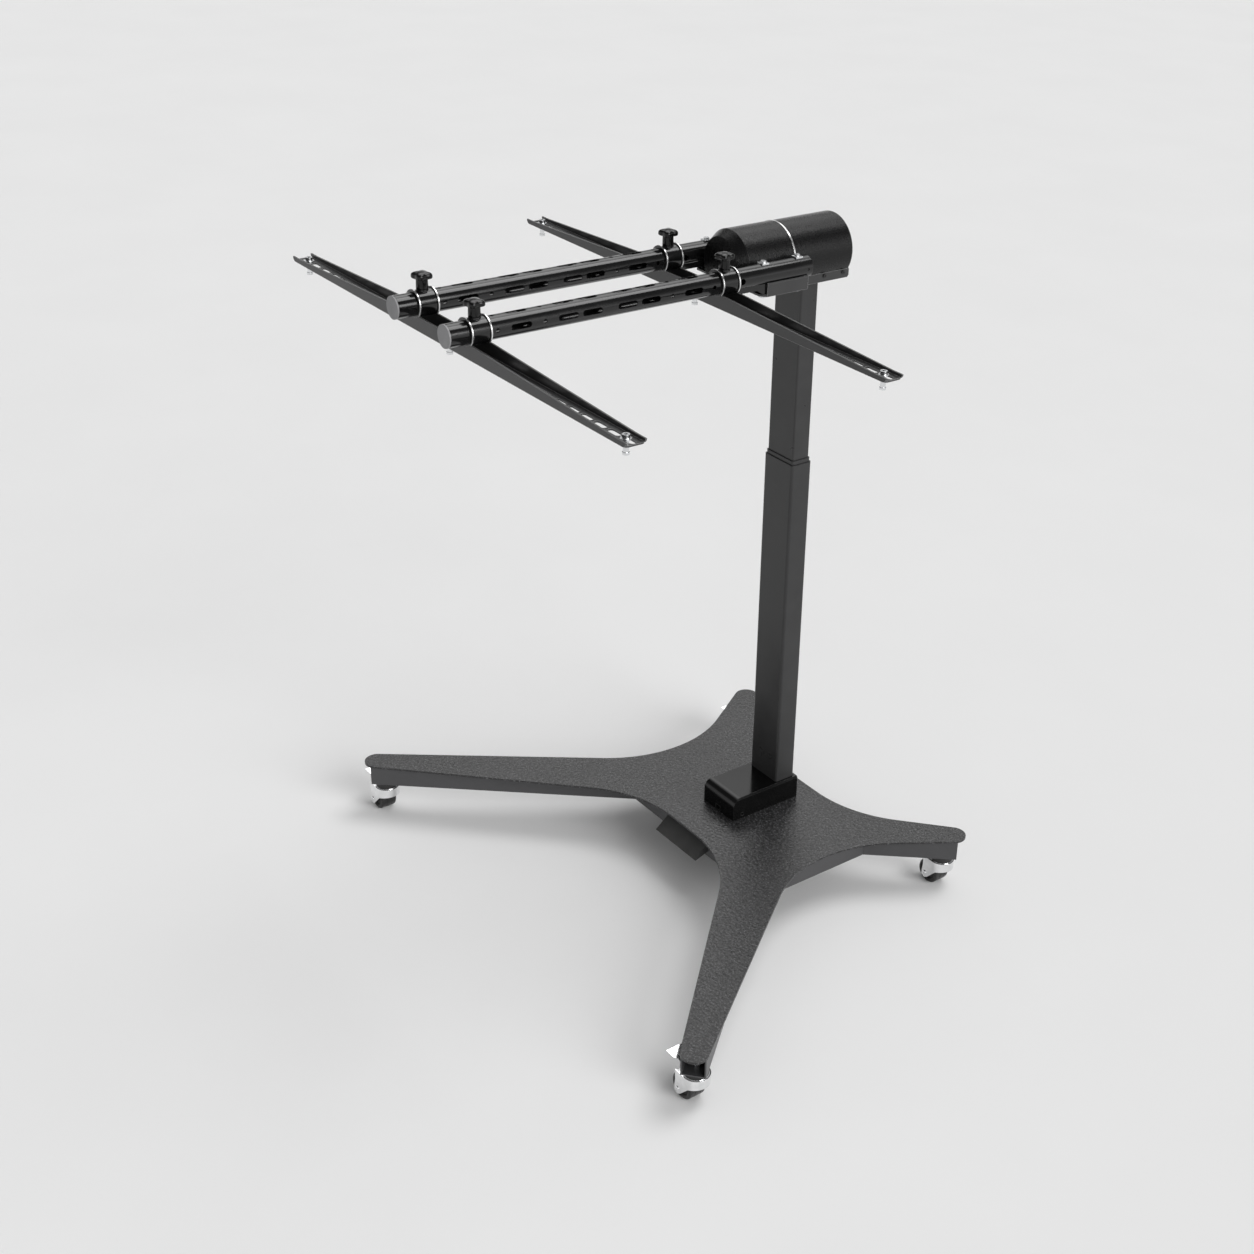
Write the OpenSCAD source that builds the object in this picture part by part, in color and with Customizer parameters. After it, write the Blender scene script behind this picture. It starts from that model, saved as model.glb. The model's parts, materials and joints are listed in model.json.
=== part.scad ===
// Motor-driven floor stand for a long light panel.
// Four-armed rolling base, three-stage lifting column, turning head, two tubes and two cross rails.
// Millimetres, +Z up, floor at Z = 0, the tubes reach towards -Y.

/* [Base plate] */
// Thickness of the base plate
plate_t = 5; // [4:0.5:8]
// Radius of the round arm tips
tip_r = 28; // [26:0.5:32]
// Sideways place of the front arm tips
front_tip_x = 619; // [560:1:680]
// Forward place of the front arm tips, ahead of the column
front_tip_y = 675; // [620:1:740]
// Sideways place of the rear arm tips
rear_tip_x = 374; // [350:1:420]
// Rearward place of the rear arm tips, behind the column
rear_tip_y = 220; // [200:1:250]
// Direction of the front arms' outer edge, from straight ahead
front_outer_angle = 36.6; // [35:0.1:38]
// Direction of the front arms' inner edge, from straight ahead
front_inner_angle = 44.6; // [43:0.1:46]
// Direction of the rear arms' side edge, from straight back
rear_side_angle = 33; // [31:0.5:35]
// Direction of the rear arms' back edge, from straight back
rear_back_angle = 48; // [46:0.5:50]
// Radius of the long inner curves between the arms
fillet_r = 286; // [260:1:310]
// Front edge of the plate's middle, ahead of the column
waist_front = 249; // [235:1:265]
// Rear edge of the plate's middle, behind the column
waist_rear = 81; // [75:1:90]

/* [Frame under the plate] */
// Height of the skirts and arm channels
channel_h = 45.5; // [40:0.5:50]
// Thickness of their sheet
sheet_t = 3; // [2:0.5:4]
// Step from the plate's edge in to the arm channels
channel_inset = 3; // [2:0.5:5]
// Width of the lip folded in along the skirts' lower edge
skirt_lip = 14; // [8:1:20]
// Length of the tip that stands free past the channel's open end
tip_free = 18; // [16:1:20]

/* [Casters] */
// Overall height of a caster
caster_h = 83; // [81:1:90]
// Diameter of a wheel
wheel_d = 58; // [55:1:59]
// Width of a wheel's tread
wheel_w = 38; // [34:1:42]
// Distance of the axle behind the swivel axis
caster_trail = 22; // [18:1:24]
// Distance of the swivel axis in from the tip's centre
caster_inset = 20; // [16:0.5:22]
// Diameter of the ball race housing
race_d = 49; // [46:1:50]
// Height of the ball race housing
race_h = 12; // [10:1:12]
// Diameter of the threaded stem
stem_d = 12; // [10:1:14]
// Outer width of the hood
hood_w = 56; // [52:1:60]
// Sheet thickness of the hood
hood_t = 2.5; // [2:0.5:3]
// Height of the hood's front band
hood_band = 20; // [16:1:23]
// Diameter of the axle
axle_d = 6; // [5:0.5:8]
// Reach of the brake pedal from the swivel axis
pedal_reach = 72; // [66:1:76]
// Width of the pedal's flared end
pedal_w = 36; // [30:1:40]

/* [Foot cover] */
// Width of the cover
cover_w = 108; // [106:1:120]
// Height of the cover
cover_h = 54; // [52:1:60]
// Reach of the cover ahead of the column's centre
cover_front = 151; // [148:1:175]
// Reach of the cover behind the column's centre
cover_rear = 31; // [30:1:40]
// Radius of its front top edge
cover_round = 20; // [14:1:22]
// Wall of the cover
cover_t = 2.5; // [2:0.5:3]

/* [Control box] */
// Width of the control box
box_w = 146; // [120:1:180]
// Reach of its slanted face ahead of the skirt
box_d = 38; // [30:1:42]
// Depth of its front edge below the plate
box_drop = 40; // [34:1:44]

/* [Lifting column] */
// Width of the outer tube
outer_w = 92; // [86:1:96]
// Depth of the outer tube
outer_d = 52; // [50:1:54]
// Length of the outer tube
outer_l = 816; // [780:1:860]
// Wall of the three tubes
column_t = 1.7; // [1.5:0.1:2]
// Gap between one tube and the next
stage_gap = 0.6; // [0.5:0.1:0.8]
// Corner radius of the outer tube
corner_r = 6; // [5:0.5:8]
// Height of the middle tube's shoe above the lift gearbox
middle_gap = 12; // [10:1:40]
// Height that the middle stage stands out of the outer tube
middle_out = 11; // [10:1:60]
// Length of the inner tube
inner_l = 689; // [650:1:700]
// Height that the inner stage stands out of the middle stage
inner_out = 378; // [370:1:430]
// Thickness of the glide collars on the tube ends
collar_t = 2; // [1.5:0.5:3]
// Height of the glide shoes at the tube feet
shoe_h = 20; // [15:1:25]
// Thickness of the foot plate
foot_t = 6; // [5:1:8]

/* [Drives] */
// Diameter of the lift motor
lift_motor_d = 38; // [34:1:40]
// Diameter of the lift spindle
spindle_d = 12; // [10:1:14]
// Depth of the lift spindle's end below the outer tube's end
spindle_drop = 58; // [50:1:100]
// Diameter of the turning motor
turn_motor_d = 60; // [50:1:62]
// Diameter of the turning gearbox
turn_gearbox_d = 68; // [64:1:69]
// Diameter of the head's shaft
shaft_d = 40; // [34:1:44]
// Outer diameter of the shaft's bearing
bearing_d = 66; // [60:1:68]

/* [Head] */
// Width of the mount channel on the column
mount_w = 112; // [106:1:116]
// Height of the mount channel
mount_h = 18; // [16:1:22]
// Forward reach of the mount channel
mount_front = 50; // [47:1:54]
// Rearward reach of the mount channel
mount_rear = 86; // [80:1:86]
// Radius of the two housings
drum_r = 66; // [64:0.5:66.5]
// Distance from the turning axis down to the housings' flat underside
drum_flat = 35; // [35:0.5:38]
// Forward end of the fixed housing
seam_y = 60; // [58:1:62]
// Rearward end of the fixed housing
drum_rear = 86.5; // [86.5:0.5:90]
// Length of the turning housing up to its cone
nose_start = 109; // [100:1:120]
// Length of the cone
nose_l = 20; // [16:1:26]
// Radius at the cone's end
nose_r = 54; // [50:1:58]
// Wall of both housings
drum_t = 3; // [2.5:0.5:4]
// Width of the bright seam ring
seam_w = 3.2; // [2.4:0.2:3.6]

/* [Tubes and bracket] */
// Outer diameter of the tubes
tube_d = 42; // [40:0.5:42.5]
// Wall of the tubes
tube_t = 2; // [1.5:0.5:3]
// Distance of each tube from the turning axis
tube_x = 89.6; // [89:0.1:94]
// Length of a tube with its end cap
tube_l = 791.5; // [770:0.5:830]
// Distance of the tubes' rear end ahead of the column
tube_rear = 54; // [52:0.5:58]
// Thickness of the end caps
cap_t = 3; // [2:0.5:5]
// Length of the slots along the tubes
slot_l = 42; // [30:1:45]
// Width of the slots along the tubes
slot_w = 11; // [8:0.5:12]
// Thickness of the bracket plate
bracket_t = 4; // [3:0.5:5]
// Half width of the bracket plate
bracket_x = 110; // [110:0.5:113]
// Forward reach of the bracket plate
bracket_front = 175; // [170:1:180]
// Height of the bracket's upturned sides
bracket_side_h = 25; // [20:1:25]
// Diameter of the bolts that hold the tubes
tube_bolt_d = 8; // [6:1:10]

/* [Cross rails] */
// Length of a rail
rail_l = 1138; // [1100:1:1200]
// Width of a rail
rail_w = 40; // [38:1:44]
// Sheet thickness of a rail
rail_t = 3; // [2.5:0.5:4]
// Distance from the tubes' centre down to a rail's underside
rail_drop = 45.7; // [44:0.1:50]
// Height of the rail's sides in its middle
rail_side_mid = 27; // [25:1:30]
// Height of the rail's sides near its ends
rail_side_end = 9; // [7:1:12]
// Half length of the rail's high middle
rail_high_x = 118; // [116:1:130]
// Distance of the long slots from the rail's middle
long_slot_x = 285; // [280:1:290]
// Length of the long slots
long_slot_l = 75; // [60:1:80]
// Distance of the middle slots from the rail's middle
mid_slot_x = 178; // [172:1:184]
// Length of the middle slots
mid_slot_l = 53; // [40:1:60]
// Place of the front rail, ahead of the column
front_rail_y = 785; // [760:1:790]
// Place of the rear rail, ahead of the column
rear_rail_y = 253; // [250:1:280]
// Outer radius of the rings round the tubes
eye_r = 26.2; // [26:0.1:28]
// Outer radius of the clamp sleeves
sleeve_r = 24; // [23.5:0.1:25]
// Distance of the end bolts from the rail's middle
bolt_x = 541; // [530:1:545]
// Diameter of the hanging bolts
bolt_d = 9.6; // [8:0.2:10]
// Reach of the hanging bolts below the rail
bolt_drop = 22.6; // [18:0.2:30]

/* [Knobs] */
// Diameter of a knob's cap
knob_d = 38.4; // [34:0.2:42]
// Diameter of a knob's hub
knob_hub_d = 22; // [18:1:24]
// Height of a knob from its seat to its top
knob_h = 30.7; // [28:0.1:36]
// Diameter of a knob's screw
knob_screw_d = 8; // [6:1:10]

/* [Hidden] */
$fn = 48;
// Radial clearance of a shaft in its bore
run_gap = 0.05;
// Clearance between parts that pass each other
clear = 0.3;
// Radial clearance of a bolt in its hole
bolt_gap = 0.25;

// Heights of the base, from the floor up
wheel_r = wheel_d / 2;
channel_z = caster_h;
plate_z = channel_z + channel_h;
plate_top = plate_z + plate_t;

// Directions out of the arms' edges, right side of the stand
front_outer_n = [cos(front_outer_angle), sin(front_outer_angle)];
front_inner_n = [-cos(front_inner_angle), -sin(front_inner_angle)];
rear_side_n = [cos(rear_side_angle), -sin(rear_side_angle)];
rear_back_n = [-cos(rear_back_angle), sin(rear_back_angle)];
front_tip = [front_tip_x, -front_tip_y];
rear_tip = [rear_tip_x, rear_tip_y];
front_mid_angle = (front_outer_angle + front_inner_angle) / 2;
rear_mid_angle = (rear_side_angle + rear_back_angle) / 2;
front_dir = [sin(front_mid_angle), -cos(front_mid_angle)];
rear_dir = [sin(rear_mid_angle), cos(rear_mid_angle)];

// Point whose distances to two edges are given, by their outward directions
function meet(n1, d1, n2, d2) =
    let (det = n1[0] * n2[1] - n1[1] * n2[0])
    [(d1 * n2[1] - d2 * n1[1]) / det, (n1[0] * d2 - n2[0] * d1) / det];

// Centres of the inner curves, each touching the two edges beside it
fillet_reach = tip_r + fillet_r;
side_centre = meet(front_outer_n, front_outer_n * front_tip + fillet_reach,
                   rear_side_n, rear_side_n * rear_tip + fillet_reach);
front_centre = meet([0, -1], waist_front + fillet_r,
                    front_inner_n, front_inner_n * front_tip + fillet_reach);
rear_centre = meet([0, 1], waist_rear + fillet_r,
                   rear_back_n, rear_back_n * rear_tip + fillet_reach);

// Hub frame, square inside the plate's waists
skirt_step_x = 10;
skirt_step_y = 16;
hub_x = side_centre[0] - fillet_r - skirt_step_x;
hub_front = -(waist_front - skirt_step_y);
hub_rear = waist_rear - skirt_step_y;

// Swivel axes of the casters on the right side
front_caster = front_tip - caster_inset * front_dir;
rear_caster = rear_tip - caster_inset * rear_dir;

// Column heights and widths
foot_top = plate_top + foot_t;
outer_top = foot_top + outer_l;
middle_top = outer_top + middle_out - collar_t;
middle_foot = foot_top + lift_motor_d + middle_gap + shoe_h;
inner_collar_top = middle_top + collar_t;
mount_z = inner_collar_top + inner_out;
mount_t = 3;
top_plate_t = 6;
mount_top = mount_z + mount_h;
inner_top = mount_top - mount_t - top_plate_t;
stage_step = column_t + stage_gap;
middle_w = outer_w - 2 * stage_step;
middle_d = outer_d - 2 * stage_step;
inner_w = middle_w - 2 * stage_step;
inner_d = middle_d - 2 * stage_step;
middle_corner = corner_r - stage_step / 2;
inner_corner = middle_corner - stage_step / 2;

// Lift drive in the foot
lift_gear_h = lift_motor_d;
lift_gear_w = inner_w - 30;
lift_gear_d = inner_d - 4;
lift_z = foot_top + lift_gear_h / 2;
lift_neck_y = -(outer_d / 2 + 34);
lift_motor_y = -(cover_front - 18);
lift_neck_r = lift_gear_h / 2 - 3;

// Head heights
axis_z = mount_top + drum_flat;
drum_front = -seam_y;
ring_front = drum_front - 0.5 - seam_w;
seam_proud = 0.8;
nose_y = ring_front - nose_start;
nose_end = nose_y - nose_l;
shaft_r = shaft_d / 2;
bearing_r = bearing_d / 2;
bulkhead_t = 4;
bearing_back = drum_front + 18;
flange_t = 6;
stub_r = 8;
stub_l = 18;
gearbox_front = bearing_back + 5;
gearbox_l = 32;
turn_motor_l = 74;

// Bracket, tubes and bolts
tube_r = tube_d / 2;
tube_bore_r = tube_r - tube_t;
tube_front_y = -(tube_rear + tube_l);
tube_rear_y = -tube_rear;
bracket_rear = ring_front - 1;
bracket_top = axis_z - drum_flat;
bracket_z = bracket_top - bracket_t;
bracket_cut = 11;
tube_bolt_ys = [bracket_rear - 14, bracket_rear - 96];
tube_bolt_r = tube_bolt_d / 2;
saddle_front = -(bracket_front + 54);
saddle_lift = 10.6;
saddle_half = 16;
sight_hole_y = saddle_front + 5;
side_t = 3;

// Slot pattern along each tube, from its middle
slot_mid_y = -(tube_rear + tube_l * 0.59);
slot_places = [37.5, 88, 184];
hole_places = [136, 231];

// Cross rail heights and pattern
rail_z = axis_z - rail_drop;
rail_half = rail_l / 2;
rail_top = rail_z + rail_t;
sleeve_bore = tube_r + 0.2;
boss_r = knob_hub_d / 2;
boss_top = axis_z + sleeve_r + 1;
short_slot_first = 353.5;
short_slot_pitch = 39;
short_slot_l = 32;
rail_slot_w = 12;
washer_t = 1.6;
bolt_head_d = 13;
bolt_head_h = 6.5;
bolt_key_r = 3.3;

// The origin is under the middle of the whole stand
origin_x = (front_caster[0] + pedal_reach - front_tip_x - tip_r) / 2;
origin_y = (tube_rear + tube_l - rear_tip_y - tip_r) / 2;

CORNERS = ["front_left", "front_right", "rear_left", "rear_right"];

// Points on an arc, both ends included
function arc(centre, r, from, to, steps) =
    [for (i = [0:steps]) let (a = from + (to - from) * i / steps) centre + r * [cos(a), sin(a)]];

function mirrored(points) = [for (i = [len(points) - 1:-1:0]) [-points[i][0], points[i][1]]];

// Right half of the plate's outline, drawn in from its edge
function half_outline(inset) =
    let (r = tip_r - inset, f = fillet_r + inset)
    concat(
        arc(front_centre, f, 90, front_inner_angle, 18),
        arc(front_tip, r, 180 + front_inner_angle, 360 + front_outer_angle, 18),
        arc(side_centre, f, 180 + front_outer_angle, 180 - rear_side_angle, 26),
        arc(rear_tip, r, -rear_side_angle, 180 - rear_back_angle, 18),
        arc(rear_centre, f, -rear_back_angle, -90, 18)
    );

function rounded_points(w, d, r) = concat(
    arc([w / 2 - r, d / 2 - r], r, 0, 90, 6),
    arc([-w / 2 + r, d / 2 - r], r, 90, 180, 6),
    arc([-w / 2 + r, -d / 2 + r], r, 180, 270, 6),
    arc([w / 2 - r, -d / 2 + r], r, 270, 360, 6)
);

module place() translate([origin_x, origin_y, 0]) children();

// Block between two opposite corners
module block(low, high) translate(low) cube(high - low);

module rod_x(r, x0, x1, y, z) translate([x0, y, z]) rotate([0, 90, 0]) cylinder(r = r, h = x1 - x0);

module rod_y(r, y0, y1, x, z) translate([x, y0, z]) rotate([-90, 0, 0]) cylinder(r = r, h = y1 - y0);

module rod_z(r, z0, z1, x, y) translate([x, y, z0]) cylinder(r = r, h = z1 - z0);

// Outline in X and Z carried along Y
module along_y(y0, y1) translate([0, y1, 0]) rotate([90, 0, 0]) linear_extrude(y1 - y0) children();

// Outline in Y and Z carried along X
module along_x(x0, x1) translate([x0, 0, 0]) rotate([90, 0, 90]) linear_extrude(x1 - x0) children();

// Section in radius and Y turned round the head's axis
module round_y(points) translate([0, 0, axis_z]) rotate([-90, 0, 0]) rotate_extrude() polygon(points);

module both_sides() {
    children();
    mirror([1, 0, 0]) children();
}

module plate_outline(inset) {
    right = half_outline(inset);
    polygon(concat(right, mirrored(right)));
}

// Cable hole inside the cover
cable_hole_r = 20;
cable_hole_y = -100;

module base_plate() color([0.20, 0.20, 0.21]) place() difference() {
    translate([0, 0, plate_z]) linear_extrude(plate_t) plate_outline(0);
    rod_z(cable_hole_r, plate_z - 1, plate_top + 1, 0, cable_hole_y);
    for (p = foot_bolt_places) rod_z(4 + bolt_gap, plate_z - 1, plate_top + 1, p[0], p[1]);
}

// Folded skirts round the hub, welded under the plate
module hub_frame() color([0.25, 0.26, 0.29]) place() {
    depth = hub_rear - hub_front;
    centre = [0, (hub_rear + hub_front) / 2, 0];
    translate(centre) translate([0, 0, channel_z]) linear_extrude(channel_h) difference() {
        square([2 * hub_x, depth], center = true);
        square([2 * (hub_x - sheet_t), depth - 2 * sheet_t], center = true);
    }
    translate(centre) translate([0, 0, channel_z]) linear_extrude(sheet_t) difference() {
        square([2 * hub_x - sheet_t, depth - sheet_t], center = true);
        square([2 * (hub_x - skirt_lip), depth - 2 * skirt_lip], center = true);
    }
}

module square_hub() translate([-hub_x, hub_front]) square([2 * hub_x, hub_rear - hub_front]);

// Straight strip along an arm's middle line, from inside the hub to the free tip
module arm_strip(half, tip, dir, ahead) translate(tip) rotate(atan2(dir[1], dir[0]))
    translate([-0.75 * norm(tip), -half]) square([0.75 * norm(tip) + ahead, 2 * half]);

module arm_channel(tip, dir, swivel) color([0.19, 0.19, 0.20]) difference() {
    half = tip_r - channel_inset;
    translate([0, 0, channel_z]) linear_extrude(channel_h) difference() {
        arm_strip(half, tip, dir, tip_r - tip_free);
        square_hub();
    }
    translate([0, 0, channel_z + sheet_t]) linear_extrude(channel_h) arm_strip(half - sheet_t, tip, dir, tip_r);
    rod_z(stem_d / 2 + bolt_gap, channel_z - 1, channel_z + sheet_t + 1, swivel[0], swivel[1]);
}

module front_right_arm() place() arm_channel(front_tip, front_dir, front_caster);
module rear_right_arm() place() arm_channel(rear_tip, rear_dir, rear_caster);
module front_left_arm() place() mirror([1, 0, 0]) arm_channel(front_tip, front_dir, front_caster);
module rear_left_arm() place() mirror([1, 0, 0]) arm_channel(rear_tip, rear_dir, rear_caster);

// Swivel axis of each caster by its corner's name
function corner_of(name) =
    name == "front_left" ? [-front_caster[0], front_caster[1]] :
    name == "front_right" ? front_caster :
    name == "rear_left" ? [-rear_caster[0], rear_caster[1]] : rear_caster;

module at_corner(name) place() translate(corner_of(name)) children();

hood_top = caster_h - race_h - 2;
hood_low = hood_top - hood_t;
neck_r = race_d / 4;
rivet_r = neck_r + 4;
rivet_t = 2.5;
nut_h = 8;

// Ball race housing, neck, rivet head and stem of one caster
module caster_head() {
    rod_z(race_d / 2, caster_h - race_h, caster_h, 0, 0);
    rod_z(neck_r, hood_low - clear, caster_h - race_h, 0, 0);
    rod_z(rivet_r, hood_low - clear - rivet_t, hood_low - clear, 0, 0);
    rod_z(stem_d / 2, caster_h, channel_z + sheet_t + nut_h + 4, 0, 0);
}

module caster_heads() color([0.06, 0.06, 0.06]) for (name = CORNERS) at_corner(name) caster_head();

module caster_nuts() color([0.7, 0.7, 0.7]) for (name = CORNERS) at_corner(name) difference() {
    translate([0, 0, channel_z + sheet_t]) cylinder(r = stem_d * 0.85, h = nut_h, $fn = 6);
    rod_z(stem_d / 2, channel_z, channel_z + sheet_t + nut_h + 1, 0, 0);
}

// Ground plan of the hood, round in front and open behind
module hood_plan(inset) {
    r = hood_w / 2 - inset;
    back = caster_trail + 12;
    polygon(concat([[-back, -r]], arc([0, 0], r, -90, 90, 16), [[-back, r]]));
}

// Side view of the hood, with the cheek that comes down to the axle
module hood_side() {
    r = hood_w / 2 + 1;
    back = caster_trail + 9;
    polygon([
        [r, hood_top], [r, hood_top - hood_band], [hood_w * 0.17, hood_top - hood_band - 4],
        [-caster_trail + axle_boss, wheel_r - axle_boss * 0.9], [-caster_trail, wheel_r - axle_boss * 1.5],
        [-caster_trail - axle_boss, wheel_r - axle_boss * 0.9],
        [-back, wheel_r + 2], [-back + 2, wheel_r + 18], [-back + 1, hood_top]
    ]);
}

// Half width of the cheek round the axle
axle_boss = 9;
pedal_pivot = [-caster_trail - 5, hood_top - 6];
pedal_barrel_r = 3.4;
pin_r = 2;

module fork() color([0.85, 0.86, 0.88]) {
    cheek = hood_w / 2 - hood_t;
    difference() {
        intersection() {
            along_y(-hood_w, hood_w) hood_side();
            union() {
                linear_extrude(hood_top) difference() {
                    hood_plan(0);
                    hood_plan(hood_t);
                    translate([-hood_w * 1.5, -cheek]) square([hood_w, 2 * cheek]);
                }
                translate([0, 0, hood_low]) linear_extrude(hood_t) hood_plan(0);
            }
        }
        rod_z(neck_r + run_gap, 0, caster_h, 0, 0);
        block([-hood_w, -cheek, hood_low - 1], [pedal_pivot[0] + pedal_barrel_r + 1.6, cheek, caster_h]);
    }
    rod_y(axle_d / 2, -cheek - 0.5, cheek + 0.5, -caster_trail, wheel_r);
    for (s = [-1, 1]) {
        rod_y(axle_d * 0.8, s * hood_w / 2 - 1, s * hood_w / 2 + 1, -caster_trail, wheel_r);
    }
    rod_y(pin_r, -cheek - 0.5, cheek + 0.5, pedal_pivot[0], pedal_pivot[1]);
}

// Wheel with a rounded tread and a bored hub
module wheel() color([0.05, 0.05, 0.05]) translate([-caster_trail, 0, wheel_r]) rotate([-90, 0, 0]) {
    half = wheel_w / 2;
    hub_half = hood_w / 2 - hood_t - 0.6;
    hub_r = wheel_r * 0.32;
    bore = axle_d / 2 + run_gap;
    round = 4;
    rotate_extrude() polygon(concat(
        [[bore, -hub_half], [hub_r, -hub_half], [hub_r, -half + 2], [wheel_r - 7, -half + 2], [wheel_r - 6, -half]],
        arc([wheel_r - round, -half + round], round, -90, 0, 5),
        arc([wheel_r - round, half - round], round, 0, 90, 5),
        [[wheel_r - 6, half], [wheel_r - 7, half - 2], [hub_r, half - 2], [hub_r, hub_half], [bore, hub_half]]
    ));
}

// Flared foot pedal on its barrel
module pedal() color([0.85, 0.86, 0.88]) {
    pedal_t = 2;
    end_z = caster_h - 3;
    run = pedal_reach + pedal_pivot[0];
    rise = end_z - pedal_pivot[1];
    barrel_half = hood_w / 2 - hood_t - 0.5;
    translate([pedal_pivot[0], 0, pedal_pivot[1]]) difference() {
        union() {
            rod_y(pedal_barrel_r, -barrel_half, barrel_half, 0, 0);
            intersection() {
                along_y(-hood_w, hood_w) polygon([
                    [0, pedal_barrel_r - pedal_t], [0, pedal_barrel_r], [-run * 0.3, rise * 0.42],
                    [-run, rise], [-run, rise - pedal_t], [-run * 0.3, rise * 0.42 - pedal_t]
                ]);
                linear_extrude(4 * hood_w, center = true) polygon([
                    [1, -9], [-run * 0.45, -8], [-run * 0.62, -pedal_w * 0.4], [-run, -pedal_w / 2],
                    [-run - 1, 0], [-run, pedal_w / 2], [-run * 0.62, pedal_w * 0.4], [-run * 0.45, 8], [1, 9]
                ]);
            }
        }
        rod_y(pin_r + run_gap, -hood_w, hood_w, 0, 0);
    }
}

module front_left_fork() at_corner("front_left") fork();
module front_right_fork() at_corner("front_right") fork();
module rear_left_fork() at_corner("rear_left") fork();
module rear_right_fork() at_corner("rear_right") fork();
module front_left_wheel() at_corner("front_left") wheel();
module front_right_wheel() at_corner("front_right") wheel();
module rear_left_wheel() at_corner("rear_left") wheel();
module rear_right_wheel() at_corner("rear_right") wheel();
module front_left_pedal() at_corner("front_left") pedal();
module front_right_pedal() at_corner("front_right") pedal();
module rear_left_pedal() at_corner("rear_left") pedal();
module rear_right_pedal() at_corner("rear_right") pedal();

socket_w = 14;
socket_h = 10;
socket_z = plate_top + 8;
socket_x = -2;
socket_rim = 2;
jack_r = 5;
jack_y = -cover_front + 25;
jack_z = plate_top + 11;

// Rounded front and bevelled sides of the cover, drawn in by a wall
module cover_body(inset) intersection() {
    along_x(-cover_w / 2 + inset, cover_w / 2 - inset) polygon(concat(
        [[cover_rear - inset, plate_top]],
        [[cover_rear - inset, plate_top + cover_h - inset]],
        arc([-cover_front + cover_round, plate_top + cover_h - cover_round], cover_round - inset, 90, 180, 10),
        [[-cover_front + inset, plate_top]]
    ));
    along_y(-cover_front, cover_rear) polygon([
        [-cover_w / 2 + inset, plate_top], [-cover_w / 2 + inset, plate_top + cover_h - 4],
        [-cover_w / 2 + inset + 3, plate_top + cover_h - inset], [cover_w / 2 - inset - 3, plate_top + cover_h - inset],
        [cover_w / 2 - inset, plate_top + cover_h - 4], [cover_w / 2 - inset, plate_top]
    ]);
}

module foot_cover() color([0.03, 0.03, 0.03]) place() difference() {
    cover_body(0);
    cover_body(cover_t);
    translate([0, 0, plate_top + cover_h / 2]) linear_extrude(cover_h)
        polygon(rounded_points(outer_w + 2 * clear, outer_d + 2 * clear, corner_r));
    block([socket_x - socket_w / 2 - socket_rim, -cover_front - 1, socket_z - socket_h / 2 - socket_rim],
          [socket_x + socket_w / 2 + socket_rim, -cover_front + cover_t + 1, socket_z + socket_h / 2 + socket_rim]);
    rod_x(jack_r, cover_w / 2 - cover_t - 1, cover_w / 2 + 1, jack_y, jack_z);
}

// Mains inlet in the front wall and handset socket in the right wall
module cover_sockets() color([0.02, 0.02, 0.02]) place() {
    difference() {
        block([socket_x - socket_w / 2 - socket_rim, -cover_front - 0.5, socket_z - socket_h / 2 - socket_rim],
              [socket_x + socket_w / 2 + socket_rim, -cover_front + 15, socket_z + socket_h / 2 + socket_rim]);
        block([socket_x - socket_w / 2, -cover_front - 1, socket_z - socket_h / 2],
              [socket_x + socket_w / 2, -cover_front + 12, socket_z + socket_h / 2]);
    }
    for (s = [-1, 1]) rod_y(1.2, -cover_front + 4, -cover_front + 12, socket_x + s * socket_w / 4, socket_z);
    difference() {
        rod_x(jack_r, cover_w / 2 - 14, cover_w / 2 + 0.5, jack_y, jack_z);
        rod_x(jack_r - 1.2, cover_w / 2 - 11, cover_w / 2 + 1, jack_y, jack_z);
    }
}

foot_x = cover_w / 2 - cover_t - 1.5;
foot_front = -(outer_d / 2 + 32);
foot_rear = cover_rear - cover_t - 1;
foot_bolt_places = [[-32, foot_front + 12], [32, foot_front + 12], [-32, 16], [32, 16]];

module column_foot() color([0.35, 0.35, 0.36]) place() difference() {
    block([-foot_x, foot_front, plate_top], [foot_x, foot_rear, foot_top]);
    for (p = foot_bolt_places) rod_z(4, plate_top - 1, foot_top + 1, p[0], p[1]);
}

module foot_bolts() color([0.6, 0.6, 0.62]) place() for (p = foot_bolt_places) {
    rod_z(4, plate_z, foot_top, p[0], p[1]);
    rod_z(6.5, plate_z - 6, plate_z, p[0], p[1]);
}

// Rounded rectangular tube between two heights
module stage_tube(w, d, r, z0, z1) translate([0, 0, z0]) linear_extrude(z1 - z0) difference() {
    polygon(rounded_points(w, d, r));
    polygon(rounded_points(w - 2 * column_t, d - 2 * column_t, r - column_t));
}

// Ring that fills the space between an outer size and the tube that slides in it
module glide_ring(w, d, r, slide_w, slide_d, slide_r, z0, z1) translate([0, 0, z0]) linear_extrude(z1 - z0)
    difference() {
        polygon(rounded_points(w, d, r));
        polygon(rounded_points(slide_w + 2 * clear, slide_d + 2 * clear, slide_r));
    }

module column_outer() color([0.24, 0.24, 0.25]) place() difference() {
    stage_tube(outer_w, outer_d, corner_r, foot_top, outer_top);
    rod_y(lift_neck_r + clear, -outer_d, 0, 0, lift_z);
}

module outer_collar() color([0.05, 0.05, 0.05]) place()
    glide_ring(outer_w, outer_d, corner_r, middle_w, middle_d, middle_corner, outer_top, outer_top + collar_t);

module column_middle() color([0.24, 0.24, 0.25]) place()
    stage_tube(middle_w, middle_d, middle_corner, middle_foot, middle_top);

module middle_collar() color([0.05, 0.05, 0.05]) place()
    glide_ring(middle_w, middle_d, middle_corner, inner_w, inner_d, inner_corner,
               middle_top, middle_top + collar_t);

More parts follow.
